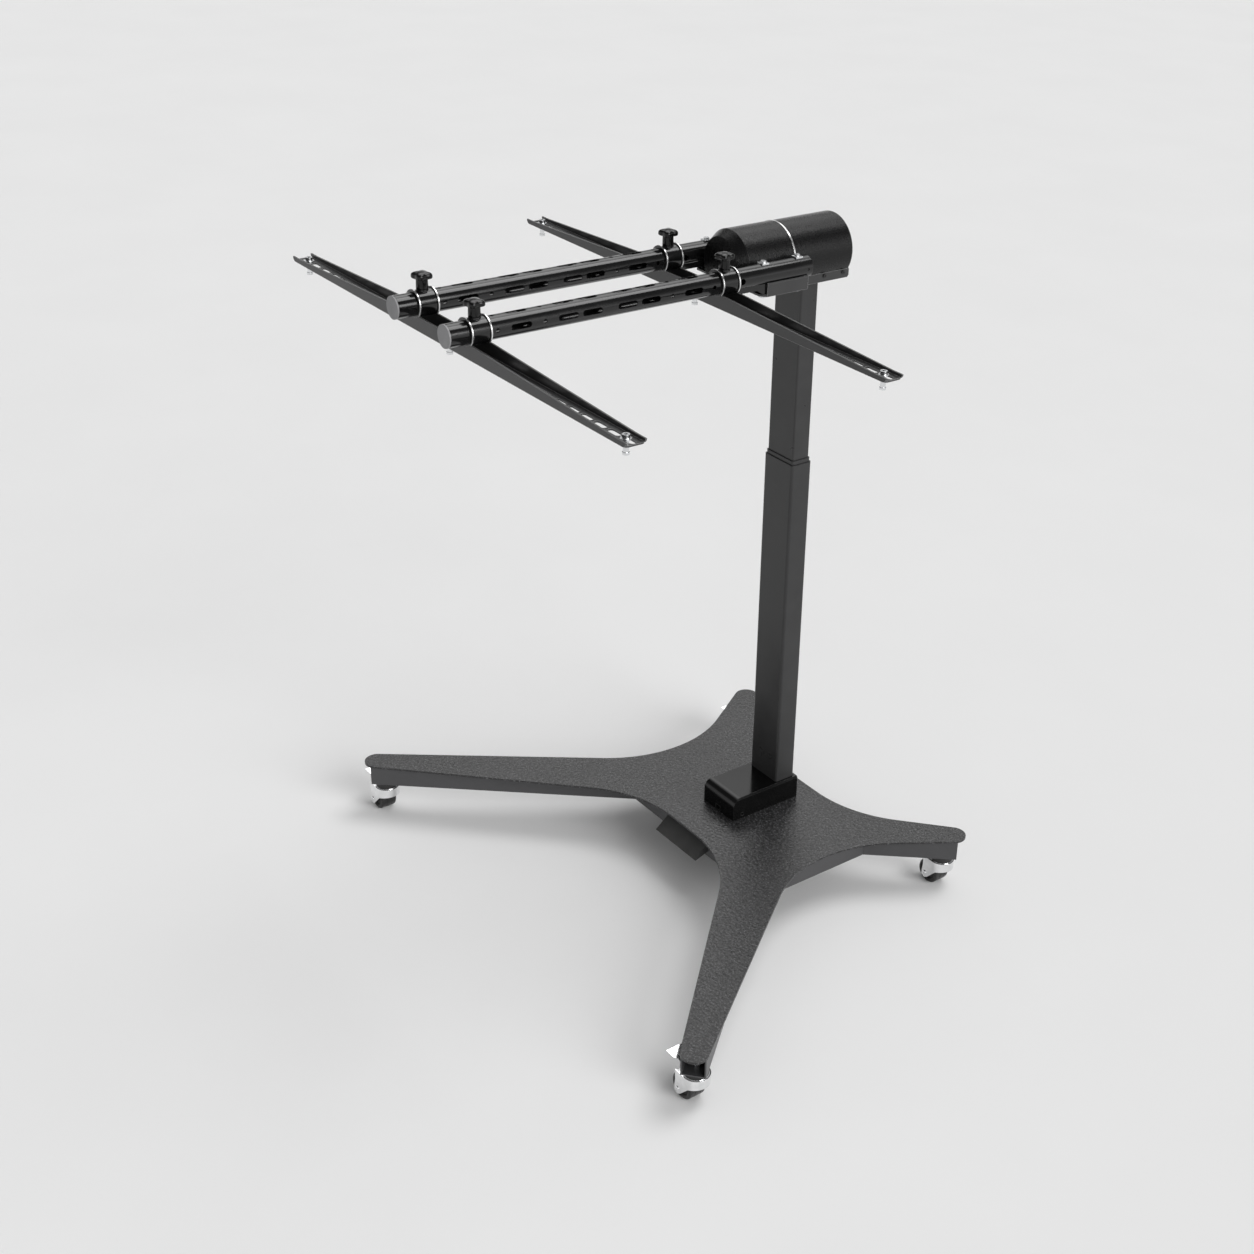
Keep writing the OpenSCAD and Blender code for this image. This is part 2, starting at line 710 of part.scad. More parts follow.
module column_inner() color([0.24, 0.24, 0.25]) place()
    stage_tube(inner_w, inner_d, inner_corner, inner_top - inner_l, inner_top);

// Hollow glide shoe under a tube's foot
module shoe(w, d, r, z) translate([0, 0, z - shoe_h]) linear_extrude(shoe_h) difference() {
    polygon(rounded_points(w + 2 * (stage_gap - clear), d + 2 * (stage_gap - clear), r));
    polygon(rounded_points(w - 2 * column_t, d - 2 * column_t, r - column_t));
}

module middle_shoe() color([0.85, 0.85, 0.8]) place()
    shoe(middle_w, middle_d, middle_corner, middle_foot);

// The inner shoe carries the spindle's nut
module inner_shoe() color([0.85, 0.85, 0.8]) place() {
    foot = inner_top - inner_l;
    shoe(inner_w, inner_d, inner_corner, foot);
    difference() {
        translate([0, 0, foot - shoe_h]) linear_extrude(6)
            polygon(rounded_points(inner_w - column_t, inner_d - column_t, inner_corner - 1));
        rod_z(spindle_d / 2 + clear, foot - shoe_h - 1, foot, 0, 0);
    }
}

module lift_gearbox() color([0.55, 0.55, 0.57]) place() difference() {
    union() {
        block([-lift_gear_w / 2, -lift_gear_d / 2, foot_top], [lift_gear_w / 2, lift_gear_d / 2, foot_top + lift_gear_h]);
        rod_y(lift_neck_r, lift_neck_y, 0, 0, lift_z);
    }
    rod_z(spindle_d / 2, foot_top + lift_gear_h - 12, foot_top + lift_gear_h + 1, 0, 0);
}

module lift_motor() color([0.5, 0.5, 0.52]) place() {
    rod_y(lift_motor_d / 2, lift_motor_y, lift_neck_y, 0, lift_z);
    block([-12, lift_motor_y + 10, plate_top], [12, lift_motor_y + 40, lift_z]);
}

module lift_spindle() color([0.7, 0.7, 0.72]) place()
    rod_z(spindle_d / 2, foot_top + lift_gear_h - 12, outer_top - spindle_drop, 0, 0);

// Wedge-shaped box with a slanted face, on the front skirt
module control_box() color([0.25, 0.25, 0.25]) place() along_x(-box_w / 2, box_w / 2) polygon([
    [hub_front, plate_z - 10], [hub_front - 2, plate_z - 11], [hub_front - box_d, plate_z - box_drop],
    [hub_front - box_d + 3, plate_z - box_drop - 3], [hub_front, plate_z - box_drop + 9]
]);

screw_ys = [22.6, 70.6];
mount_cut = 4;
screw_z = inner_top + top_plate_t / 2;
screw_r = 2.5;

module column_top_plate() color([0.4, 0.4, 0.42]) place() difference() {
    block([-mount_w / 2 + mount_t, -mount_front + 4, inner_top], [mount_w / 2 - mount_t, mount_rear - 4, inner_top + top_plate_t]);
    for (y = screw_ys) rod_x(screw_r, -mount_w, mount_w, y, screw_z);
}

// Channel upside down on the column, with its rear lower corners cut off
module mount_channel() color([0.26, 0.26, 0.27]) place() difference() {
    along_x(-mount_w / 2, mount_w / 2) polygon([
        [-mount_front, mount_z], [-mount_front, mount_top], [mount_rear, mount_top],
        [mount_rear, mount_z + mount_cut], [mount_rear - mount_cut, mount_z]
    ]);
    block([-mount_w / 2 + mount_t, -mount_front - 1, mount_z - 1], [mount_w / 2 - mount_t, mount_rear + 1, mount_top - mount_t]);
    for (y = screw_ys) rod_x(screw_r + bolt_gap, -mount_w, mount_w, y, screw_z);
}

module mount_screws() color([0.7, 0.7, 0.7]) place() both_sides() for (y = screw_ys) {
    rod_x(screw_r, mount_w / 2 - 14, mount_w / 2, y, screw_z);
    difference() {
        rod_x(4, mount_w / 2, mount_w / 2 + 2.5, y, screw_z);
        rod_x(1.5, mount_w / 2 + 1, mount_w / 2 + 3, y, screw_z);
    }
}

// Cuts a turned piece flat where it sits on the channel or the bracket
module flat_under() difference() {
    children();
    block([-2 * drum_r, nose_end - 1, axis_z - 2 * drum_r], [2 * drum_r, drum_rear + 1, axis_z - drum_flat]);
}

module rear_housing() color([0.10, 0.10, 0.105]) place() flat_under() round_y(concat(
    [[bearing_r, drum_front], [drum_r, drum_front]],
    arc([drum_r - 5, drum_rear - 5], 5, 0, 90, 5),
    [[0, drum_rear], [0, drum_rear - drum_t], [drum_r - 5, drum_rear - drum_t], [drum_r - drum_t, drum_rear - 5]],
    [[drum_r - drum_t, drum_front + bulkhead_t], [bearing_r + 5, drum_front + bulkhead_t]],
    [[bearing_r + 5, bearing_back], [bearing_r, bearing_back]]
));

module turn_bearing() color([0.75, 0.75, 0.78]) place() round_y([
    [shaft_r + run_gap, drum_front + 1], [bearing_r, drum_front + 1],
    [bearing_r, bearing_back - 1], [shaft_r + run_gap, bearing_back - 1]
]);

// Turning motor with its gearbox, on a foot that stands on the mount channel
module turn_motor() color([0.5, 0.5, 0.52]) place() difference() {
    union() {
        rod_y(turn_gearbox_d / 2, gearbox_front, gearbox_front + gearbox_l, 0, axis_z);
        rod_y(turn_motor_d / 2, gearbox_front + gearbox_l, gearbox_front + gearbox_l + turn_motor_l, 0, axis_z);
        block([-24, gearbox_front + 4, mount_top], [24, gearbox_front + gearbox_l - 4, axis_z]);
    }
    rod_y(stub_r + run_gap, gearbox_front - 1, gearbox_front + stub_l, 0, axis_z);
}

// Shaft with its flange inside the turning housing
module turn_shaft() color([0.7, 0.7, 0.72]) place() {
    back = bearing_back + 2;
    rod_y(bearing_r, ring_front - bulkhead_t - flange_t, ring_front - bulkhead_t, 0, axis_z);
    rod_y(shaft_r, ring_front - bulkhead_t, back, 0, axis_z);
    rod_y(stub_r, back, gearbox_front + stub_l - 2, 0, axis_z);
}

module seam_ring() color([0.9, 0.9, 0.92]) place() flat_under() round_y([
    [drum_r - 11, ring_front], [drum_r + seam_proud, ring_front],
    [drum_r + seam_proud, ring_front + seam_w], [drum_r - 11, ring_front + seam_w]
]);

module front_housing() color([0.10, 0.10, 0.105]) place() flat_under() round_y([
    [0, nose_end], [nose_r, nose_end], [drum_r, nose_y], [drum_r, ring_front],
    [shaft_r, ring_front], [shaft_r, ring_front - bulkhead_t], [drum_r - drum_t, ring_front - bulkhead_t],
    [drum_r - drum_t, nose_y + 1], [nose_r - drum_t + 1, nose_end + drum_t], [0, nose_end + drum_t]
]);

// Plate under the turning housing, with an upturned and hemmed side next to each tube
module bracket() color([0.22, 0.22, 0.23]) place() difference() {
    union() {
        translate([0, 0, bracket_z]) linear_extrude(bracket_t) polygon([
            [-bracket_x, bracket_rear], [-bracket_x, -bracket_front + bracket_cut],
            [-bracket_x + bracket_cut, -bracket_front], [bracket_x - bracket_cut, -bracket_front],
            [bracket_x, -bracket_front + bracket_cut], [bracket_x, bracket_rear]
        ]);
        both_sides() {
            block([bracket_x - side_t, -bracket_front + bracket_cut, bracket_z],
                  [bracket_x, bracket_rear, bracket_z + bracket_side_h]);
            rod_y(side_t / 2 + 0.4, -bracket_front + bracket_cut, bracket_rear,
                  bracket_x - side_t / 2, bracket_z + bracket_side_h);
        }
    }
    for (s = [-1, 1], y = tube_bolt_ys)
        rod_z(tube_bolt_r + bolt_gap, bracket_z - 1, bracket_top + 1, s * tube_x, y);
}

// Cradle under each tube, its front end swept up
module tube_saddles() color([0.12, 0.12, 0.12]) place() both_sides() difference() {
    along_x(tube_x - saddle_half, tube_x + saddle_half) polygon([
        [saddle_front, bracket_top + saddle_lift], [saddle_front, axis_z - 8], [bracket_rear, axis_z - 8],
        [bracket_rear, bracket_top], [-bracket_front + bracket_cut / 2, bracket_top],
        [-bracket_front - bracket_cut, bracket_top + saddle_lift]
    ]);
    rod_y(tube_r, saddle_front - 1, bracket_rear + 1, tube_x, axis_z);
    for (y = tube_bolt_ys) rod_z(tube_bolt_r + bolt_gap, bracket_z, axis_z, tube_x, y);
}

// Slot with round ends, cut through both walls of a tube, level or upright
module tube_slot(y, upright) rotate([0, upright ? 90 : 0, 0]) {
    reach = slot_l / 2 - slot_w / 2;
    rod_x(slot_w / 2, -tube_d, tube_d, y - reach, 0);
    rod_x(slot_w / 2, -tube_d, tube_d, y + reach, 0);
    block([-tube_d, y - reach, -slot_w / 2], [tube_d, y + reach, slot_w / 2]);
}

module tube_body() difference() {
    rod_y(tube_r, tube_front_y + cap_t, tube_rear_y, 0, 0);
    rod_y(tube_bore_r, tube_front_y, tube_rear_y + 1, 0, 0);
    for (s = [-1, 1], upright = [false, true]) {
        for (p = slot_places) tube_slot(slot_mid_y + s * p, upright);
        for (p = hole_places) rotate([0, upright ? 90 : 0, 0])
            rod_x(4, -tube_d, tube_d, slot_mid_y + s * p, 0);
    }
    rod_x(6, -tube_d, tube_d, sight_hole_y, 0);
    rod_x(3, -tube_d, tube_d, tube_rear_y - 12, 0);
    for (y = tube_bolt_ys) rod_z(tube_bolt_r + bolt_gap, -tube_d, tube_d, 0, y);
}

module left_tube() color([0.08, 0.08, 0.085]) place() translate([-tube_x, 0, axis_z]) tube_body();
module right_tube() color([0.08, 0.08, 0.085]) place() translate([tube_x, 0, axis_z]) tube_body();

// Moulded caps in the tubes' front ends
module tube_caps() color([0.45, 0.45, 0.46]) place() both_sides() {
    rod_y(tube_r, tube_front_y, tube_front_y + cap_t, tube_x, axis_z);
    rod_y(tube_bore_r, tube_front_y + cap_t, tube_front_y + cap_t + 14, tube_x, axis_z);
}

module tube_bolts() color([0.75, 0.76, 0.78]) place() both_sides() for (y = tube_bolt_ys) {
    washer_top = axis_z + tube_r + 2;
    washer_half = tube_bolt_d;
    difference() {
        block([tube_x - washer_half, y - washer_half, axis_z + tube_r - 4],
              [tube_x + washer_half, y + washer_half, washer_top]);
        rod_y(tube_r, y - 2 * washer_half, y + 2 * washer_half, tube_x, axis_z);
        rod_z(tube_bolt_r, axis_z, washer_top + 1, tube_x, y);
    }
    rod_z(tube_bolt_r, bracket_z - tube_bolt_r * 1.5, washer_top, tube_x, y);
    rod_z(tube_bolt_r * 1.4, washer_top, washer_top + tube_bolt_r * 0.9, tube_x, y);
    translate([tube_x, y, bracket_z - tube_bolt_r * 1.5]) cylinder(r = tube_bolt_r * 1.8, h = tube_bolt_r * 1.5, $fn = 6);
}

// Side view of a rail: high in the middle, tapering to round ends, with a ring round each tube
module rail_side() difference() {
    union() {
        polygon(concat(
            arc([rail_half - rail_side_end, rail_z + rail_side_end], rail_side_end, -90, 0, 5),
            [[bolt_x + 4, rail_z + rail_side_end], [rail_high_x, rail_z + rail_side_mid]],
            [[-rail_high_x, rail_z + rail_side_mid], [-bolt_x - 4, rail_z + rail_side_end]],
            arc([-rail_half + rail_side_end, rail_z + rail_side_end], rail_side_end, 180, 270, 5)
        ));
        for (s = [-1, 1]) translate([s * tube_x, axis_z]) circle(r = eye_r);
    }
    for (s = [-1, 1]) translate([s * tube_x, axis_z]) circle(r = sleeve_r);
}

// Slot with round ends along X through the rail's web
module rail_slot(x, y, length) {
    reach = length / 2 - rail_slot_w / 2;
    rod_z(rail_slot_w / 2, rail_z - 1, rail_top + 1, x - reach, y);
    rod_z(rail_slot_w / 2, rail_z - 1, rail_top + 1, x + reach, y);
    block([x - reach, y - rail_slot_w / 2, rail_z - 1], [x + reach, y + rail_slot_w / 2, rail_top + 1]);
}

module rail(y) color([0.22, 0.22, 0.23]) {
    half = rail_w / 2;
    difference() {
        union() {
            along_y(y - half, y - half + rail_t) rail_side();
            along_y(y + half - rail_t, y + half) rail_side();
            translate([0, y, rail_z]) linear_extrude(rail_t) polygon(rounded_points(rail_l - 4, rail_w, 8));
        }
        for (s = [-1, 1]) {
            for (i = [0:5]) rail_slot(s * (short_slot_first + i * short_slot_pitch), y, short_slot_l);
            rail_slot(s * long_slot_x, y, long_slot_l);
            rail_slot(s * mid_slot_x, y, mid_slot_l);
        }
        rod_z(bolt_d / 2 + bolt_gap, rail_z - 1, rail_top + 1, 0, y);
    }
}

// Clamp sleeve on each tube, with a screwed boss for its knob
module sleeves(y) color([0.04, 0.04, 0.04]) both_sides() difference() {
    union() {
        rod_y(sleeve_r, y - rail_w / 2, y + rail_w / 2, tube_x, axis_z);
        rod_z(boss_r, axis_z, boss_top, tube_x, y);
    }
    rod_y(sleeve_bore, y - rail_w, y + rail_w, tube_x, axis_z);
    rod_z(knob_screw_d / 2 + run_gap, axis_z, boss_top + 1, tube_x, y);
}

// Hanging bolts in the middle and near both ends, each with a washer
module rail_bolts(y) color([0.75, 0.76, 0.78]) for (x = [-bolt_x, 0, bolt_x]) {
    r = bolt_d / 2;
    difference() {
        union() {
            rod_z(bolt_head_d / 2, rail_top + washer_t, rail_top + washer_t + bolt_head_h, x, y);
            rod_z(r, rail_z - bolt_drop, rail_top + washer_t, x, y);
            rod_z(r + 1.2, rail_z - bolt_drop, rail_z - bolt_drop + 4, x, y);
        }
        translate([x, y, rail_top + washer_t + bolt_head_h - 5]) cylinder(r = bolt_key_r, h = 6, $fn = 6);
    }
    difference() {
        rod_z(r + 5, rail_top, rail_top + washer_t, x, y);
        rod_z(r, rail_top - 1, rail_top + washer_t + 1, x, y);
    }
}

module front_rail() place() rail(-front_rail_y);
module rear_rail() place() rail(-rear_rail_y);
module front_sleeves() place() sleeves(-front_rail_y);
module rear_sleeves() place() sleeves(-rear_rail_y);
module front_rail_bolts() place() rail_bolts(-front_rail_y);
module rear_rail_bolts() place() rail_bolts(-rear_rail_y);

// Mushroom knob with its clamp screw
module knob(x, y) color([0.04, 0.04, 0.04]) translate([x, y, boss_top + clear]) {
    cap_r = knob_d / 2;
    screw_tip = axis_z + tube_r + clear - boss_top - clear;
    rotate_extrude() polygon(concat(
        [[0, screw_tip], [knob_screw_d / 2, screw_tip], [knob_screw_d / 2, 0], [knob_hub_d / 2, 0]],
        [[knob_hub_d / 2, knob_h - 15], [cap_r - 3, knob_h - 13]],
        arc([cap_r - 3, knob_h - 10], 3, -90, 0, 4),
        arc([cap_r - 6, knob_h - 6], 6, 0, 70, 5),
        [[0, knob_h]]
    ));
}

module front_left_knob() place() knob(-tube_x, -front_rail_y);
module front_right_knob() place() knob(tube_x, -front_rail_y);
module rear_left_knob() place() knob(-tube_x, -rear_rail_y);
module rear_right_knob() place() knob(tube_x, -rear_rail_y);

base_plate();
hub_frame();
front_left_arm();
front_right_arm();
rear_left_arm();
rear_right_arm();
caster_heads();
caster_nuts();
foot_cover();
cover_sockets();
column_foot();
foot_bolts();
column_outer();
outer_collar();
lift_motor();
lift_gearbox();
lift_spindle();
control_box();
column_middle();
middle_collar();
middle_shoe();
column_inner();
inner_shoe();
column_top_plate();
mount_channel();
mount_screws();
rear_housing();
turn_motor();
turn_bearing();
front_housing();
seam_ring();
turn_shaft();
bracket();
tube_saddles();
left_tube();
right_tube();
tube_caps();
tube_bolts();
front_rail();
front_sleeves();
front_rail_bolts();
rear_rail();
rear_sleeves();
rear_rail_bolts();
front_left_knob();
front_right_knob();
rear_left_knob();
rear_right_knob();
front_left_fork();
front_right_fork();
rear_left_fork();
rear_right_fork();
front_left_wheel();
front_right_wheel();
rear_left_wheel();
rear_right_wheel();
front_left_pedal();
front_right_pedal();
rear_left_pedal();
rear_right_pedal();
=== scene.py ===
"""Dresses the motor-driven panel stand: finishes, small hardware, stage and camera."""
import json
import math

import bmesh
import bpy
import numpy as np
from mathutils import Matrix, Vector


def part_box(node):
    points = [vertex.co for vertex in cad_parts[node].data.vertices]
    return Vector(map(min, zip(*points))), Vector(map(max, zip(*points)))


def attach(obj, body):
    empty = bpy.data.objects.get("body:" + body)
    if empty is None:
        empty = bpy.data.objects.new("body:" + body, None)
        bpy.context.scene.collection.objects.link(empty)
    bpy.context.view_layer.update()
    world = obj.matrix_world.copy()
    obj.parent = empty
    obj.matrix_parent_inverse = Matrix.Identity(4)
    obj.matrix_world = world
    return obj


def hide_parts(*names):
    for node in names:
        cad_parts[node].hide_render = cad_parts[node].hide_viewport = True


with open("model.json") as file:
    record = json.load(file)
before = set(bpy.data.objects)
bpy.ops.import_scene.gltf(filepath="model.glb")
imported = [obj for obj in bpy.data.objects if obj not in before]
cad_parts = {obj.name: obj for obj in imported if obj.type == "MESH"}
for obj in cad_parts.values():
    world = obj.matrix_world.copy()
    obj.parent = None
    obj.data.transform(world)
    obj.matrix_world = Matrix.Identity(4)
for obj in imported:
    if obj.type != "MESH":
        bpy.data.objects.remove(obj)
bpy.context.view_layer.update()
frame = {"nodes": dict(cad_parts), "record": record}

bl_info = {
    "name": "Panel stand finishes",
    "version": (1, 0, 0),
    "blender": (4, 5, 0),
    "location": "View3D > Sidebar > Stand",
    "description": "Finishes and small hardware of a rolling, motor-driven panel stand",
    "category": "Object",
}

CORNERS = ("front_left", "front_right", "rear_left", "rear_right")
RAILS = ("front", "rear")
SIDES = ("left", "right")
# Points closer than WELD metres are merged, and an edge is sharp from the angle SHARP on
WELD = 2e-6
SHARP = math.radians(38.0)


def middle(node):
    """Centre of a node's box."""
    return (low_of(node) + high_of(node)) / 2


def low_of(node):
    """Lowest corner of a node's box."""
    return np.array(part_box(node)[0])


def high_of(node):
    """Highest corner of a node's box."""
    return np.array(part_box(node)[1])


# Surfaces on a grid

def grid_faces(rows, columns, close_rows=False, close_columns=False):
    """Quads between neighbours of a rows by columns grid of vertices, wrapped round where asked."""
    r = np.arange(rows if close_rows else rows - 1)
    c = np.arange(columns if close_columns else columns - 1)
    r, c = np.meshgrid(r, c, indexing="ij")
    here = r * columns
    below = (r + 1) % rows * columns
    right = (c + 1) % columns
    return np.stack([here + c, here + right, below + right, below + c], -1).reshape(-1, 4)


def close_seams(mesh):
    """Merge the points at seams and poles, turn the faces outwards and shade them smooth."""
    form = bmesh.new()
    form.from_mesh(mesh)
    bmesh.ops.remove_doubles(form, verts=form.verts, dist=WELD)
    bmesh.ops.dissolve_degenerate(form, edges=form.edges, dist=WELD)
    bmesh.ops.recalc_face_normals(form, faces=form.faces)
    form.to_mesh(mesh)
    form.free()
    mesh.shade_smooth()
    mesh.set_sharp_from_angle(angle=SHARP)


def build(name, parts, body, slot, replaced=()):
    """One piece from a list of (vertices, faces) parts, riding on a body, in its slot's finish."""
    vertices, faces, start = [], [], 0
    for points, quads in parts:
        vertices.append(points)
        faces.extend((quads + start).tolist())
        start += len(points)
    mesh = bpy.data.meshes.new(name)
    mesh.from_pydata(np.concatenate(vertices).tolist(), [], faces)
    close_seams(mesh)
    piece = bpy.data.objects.new(name, mesh)
    bpy.context.scene.collection.objects.link(piece)
    mesh.materials.append(bpy.data.materials[slot])
    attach(piece, body)
    if replaced:
        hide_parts(*replaced)


def axes_for(direction):
    """Unit vectors across, along and in a direction, which make a right-handed set."""
    d = np.asarray(direction, float)
    d = d / np.linalg.norm(d)
    across = np.cross([0.0, 0.0, 1.0], d) if abs(d[2]) < 0.9 else np.array([1.0, 0.0, 0.0])
    across = across - d * (across @ d)
    across = across / np.linalg.norm(across)
    return across, np.cross(d, across), d


def turned(profile, origin, direction, segments, lobes=None):
    """Profile of (radius, height) pairs turned round a direction.

    A point is origin + radius * (cos t * across + sin t * along) + height * direction. Where lobes
    is given, it is a function of the height and t that scales the radius."""
    profile = np.asarray(profile, float)
    across, along, d = axes_for(direction)
    t = np.linspace(0, 2 * math.pi, segments, endpoint=False)
    radius, height = profile[:, :1], profile[:, 1:]
    radius = radius * (lobes(height, t[None, :]) if lobes else np.ones((1, segments)))
    outward = np.cos(t)[None, :, None] * across + np.sin(t)[None, :, None] * along
    points = radius[..., None] * outward + height[..., None] * d + np.asarray(origin, float)
    return points.reshape(-1, 3), grid_faces(len(profile), segments, close_columns=True)


def ring(inner, outer, low, high, origin, direction, edge, segments=64):
    """Closed ring: a rectangle from the inner to the outer radius and from low to high, with its
    corners cut by edge, turned round a direction."""
    section = [
        (inner, low + edge), (inner + edge, low), (outer - edge, low), (outer, low + edge),
        (outer, high - edge), (outer - edge, high), (inner + edge, high), (inner, high - edge),
    ]
    points, _ = turned(section, origin, direction, segments)
    return points, grid_faces(len(section), segments, close_rows=True, close_columns=True)


# Materials

# Sockets of a Mix node for colours
MIX_FACTOR, MIX_FIRST, MIX_SECOND, MIX_RESULT = 0, 6, 7, 2
# Range that most of a noise keeps to
NOISE_RANGE = (0.3, 0.7)
# Cosine between the rounded normal and the flat one where the painted highlight on an edge starts
# and is full
EDGE_HIGHLIGHT_STARTS = 0.97
EDGE_HIGHLIGHT_FULL = 0.80


def node_at(tree, kind, **values):
    """A shader node with its sockets set by name, or a property where no socket has the name."""
    made = tree.nodes.new(kind)
    for key, value in values.items():
        if key in made.inputs:
            made.inputs[key].default_value = value
        else:
            setattr(made, key, value)
    return made


def noise(tree, place, scale, detail, roughness=0.55):
    """Fractal noise between 0 and 1, with scale features to the metre."""
    made = node_at(tree, "ShaderNodeTexNoise", Scale=scale, Detail=detail, Roughness=roughness)
    tree.links.new(place, made.inputs["Vector"])
    return made.outputs["Fac"]


def span(tree, value, low, high, to_low=0.0, to_high=1.0):
    """Value rescaled from low..high to to_low..to_high, clamped."""
    ends = {"From Min": low, "From Max": high, "To Min": to_low, "To Max": to_high}
    made = node_at(tree, "ShaderNodeMapRange", **ends)
    tree.links.new(value, made.inputs["Value"])
    return made.outputs["Result"]


def tint(colour, factor, lift=0.0):
    """Colour times a factor, plus a lift."""
    return tuple(factor * part + lift for part in colour)


def blend_colour(tree, factor, first, second):
    """First colour at a factor of 0 and the second at 1. Each is a tuple or a socket."""
    made = node_at(tree, "ShaderNodeMix", data_type="RGBA")
    tree.links.new(factor, made.inputs[MIX_FACTOR])
    for index, colour in ((MIX_FIRST, first), (MIX_SECOND, second)):
        if isinstance(colour, tuple):
            made.inputs[index].default_value = (*colour, 1.0)
        else:
            tree.links.new(colour, made.inputs[index])
    return made.outputs[MIX_RESULT]


def bump(tree, height, distance, strength, normal):
    """Normal tilted by the slope of a height, distance metres high, over another normal."""
    made = node_at(tree, "ShaderNodeBump", Strength=strength, Distance=distance)
    tree.links.new(height, made.inputs["Height"])
    tree.links.new(normal, made.inputs["Normal"])
    return made.outputs["Normal"]


def start_finish(name, metallic=0.0, specular=0.5, coat=0.0):
    """Tree, shader and the object's own coordinates of a material, in place of the frame's."""
    flat = bpy.data.materials.get(name)
    if flat:
        bpy.data.materials.remove(flat)
    material = bpy.data.materials.new(name)
    material.use_nodes = True
    tree = material.node_tree
    shader = tree.nodes["Principled BSDF"]
    shader.inputs["Metallic"].default_value = metallic
    shader.inputs["Specular IOR Level"].default_value = specular
    shader.inputs["Coat Weight"].default_value = coat
    shader.inputs["Coat Roughness"].default_value = 0.06
    return tree, shader, tree.nodes.new("ShaderNodeTexCoord").outputs["Object"]


def finish_shader(tree, shader, colour, roughness, normal):
    """Wire a finish's colour, roughness and normal into its shader."""
    tree.links.new(colour, shader.inputs["Base Color"])
    tree.links.new(roughness, shader.inputs["Roughness"])
    tree.links.new(normal, shader.inputs["Normal"])


def soft_edges(tree, radius):
    """Normal rounded over a small radius at the edges, as paint or plating leaves them."""
    return node_at(tree, "ShaderNodeBevel", samples=6, Radius=radius).outputs["Normal"]


def edge_light(tree, radius, colour, edge_highlight):
    """Colour that turns to a lighter one where the rounded normal leaves the flat one: a painted
    highlight along the edges.
    """
    flat = tree.nodes.new("ShaderNodeNewGeometry").outputs["Normal"]
    match = node_at(tree, "ShaderNodeVectorMath", operation="DOT_PRODUCT")
    tree.links.new(flat, match.inputs[0])
    tree.links.new(soft_edges(tree, radius), match.inputs[1])
    # Mask of the edges, where the colour turns lighter as a painted highlight
    highlight_mask = span(tree, match.outputs["Value"], EDGE_HIGHLIGHT_STARTS, EDGE_HIGHLIGHT_FULL)
    return blend_colour(tree, highlight_mask, colour, edge_highlight)


def speckled_paint(name, dark, light, grain, roughness, depth, edge, edge_highlight):
    """Powder coat: raised grain painted lighter on its tops as a painted highlight, bright painted
    glints among it, a slow cloud of darker tone, and a painted highlight along the edges.
    """
    tree, shader, place = start_finish(name, specular=0.45)
    fine = noise(tree, place, scale=grain, detail=3.0, roughness=0.6)
    lumps = noise(tree, place, scale=grain * 0.3, detail=2.0)
    glints = noise(tree, place, scale=grain * 1.7, detail=2.0)
    cloud = noise(tree, place, scale=9.0, detail=3.0)
    # Lighter tone on the same noise that raises the bump, so the raised tops are lighter: a painted
    # highlight
    highlit_grains = blend_colour(tree, span(tree, fine, 0.40, 0.64), dark, light)
    # Bright spots on the glint noise are painted glints, standing for light that the grain throws
    # back
    painted_glints = blend_colour(tree, span(tree, glints, 0.56, 0.64), highlit_grains, tint(light, 3.6))
    shade = span(tree, cloud, *NOISE_RANGE, to_high=0.35)
    colour = blend_colour(tree, shade, painted_glints, tint(dark, 0.75))
    rough = span(tree, fine, *NOISE_RANGE, roughness + 0.08, roughness - 0.06)
    raised = bump(tree, fine, distance=depth, strength=0.8, normal=soft_edges(tree, edge))
    normal = bump(tree, lumps, distance=depth, strength=0.2, normal=raised)
    finish_shader(tree, shader, edge_light(tree, edge, colour, edge_highlight), rough, normal)


def smooth_paint(name, base, roughness, edge, edge_highlight, coat=0.0, specular=0.5):
    """Satin or gloss paint: faint orange peel, faint dust, slightly uneven gloss, and a painted
    highlight along the edges.
    """
    tree, shader, place = start_finish(name, specular=specular, coat=coat)
    peel = noise(tree, place, scale=420.0, detail=2.0)
    cloud = noise(tree, place, scale=14.0, detail=4.0)
    dust = span(tree, cloud, 0.35, 0.7)
    colour = blend_colour(tree, dust, base, tint(base, 1.15, lift=0.001))
    rough = span(tree, cloud, *NOISE_RANGE, roughness - 0.03, roughness + 0.05)
    normal = bump(tree, peel, distance=0.0002, strength=0.12, normal=soft_edges(tree, edge))
    finish_shader(tree, shader, edge_light(tree, edge, colour, edge_highlight), rough, normal)


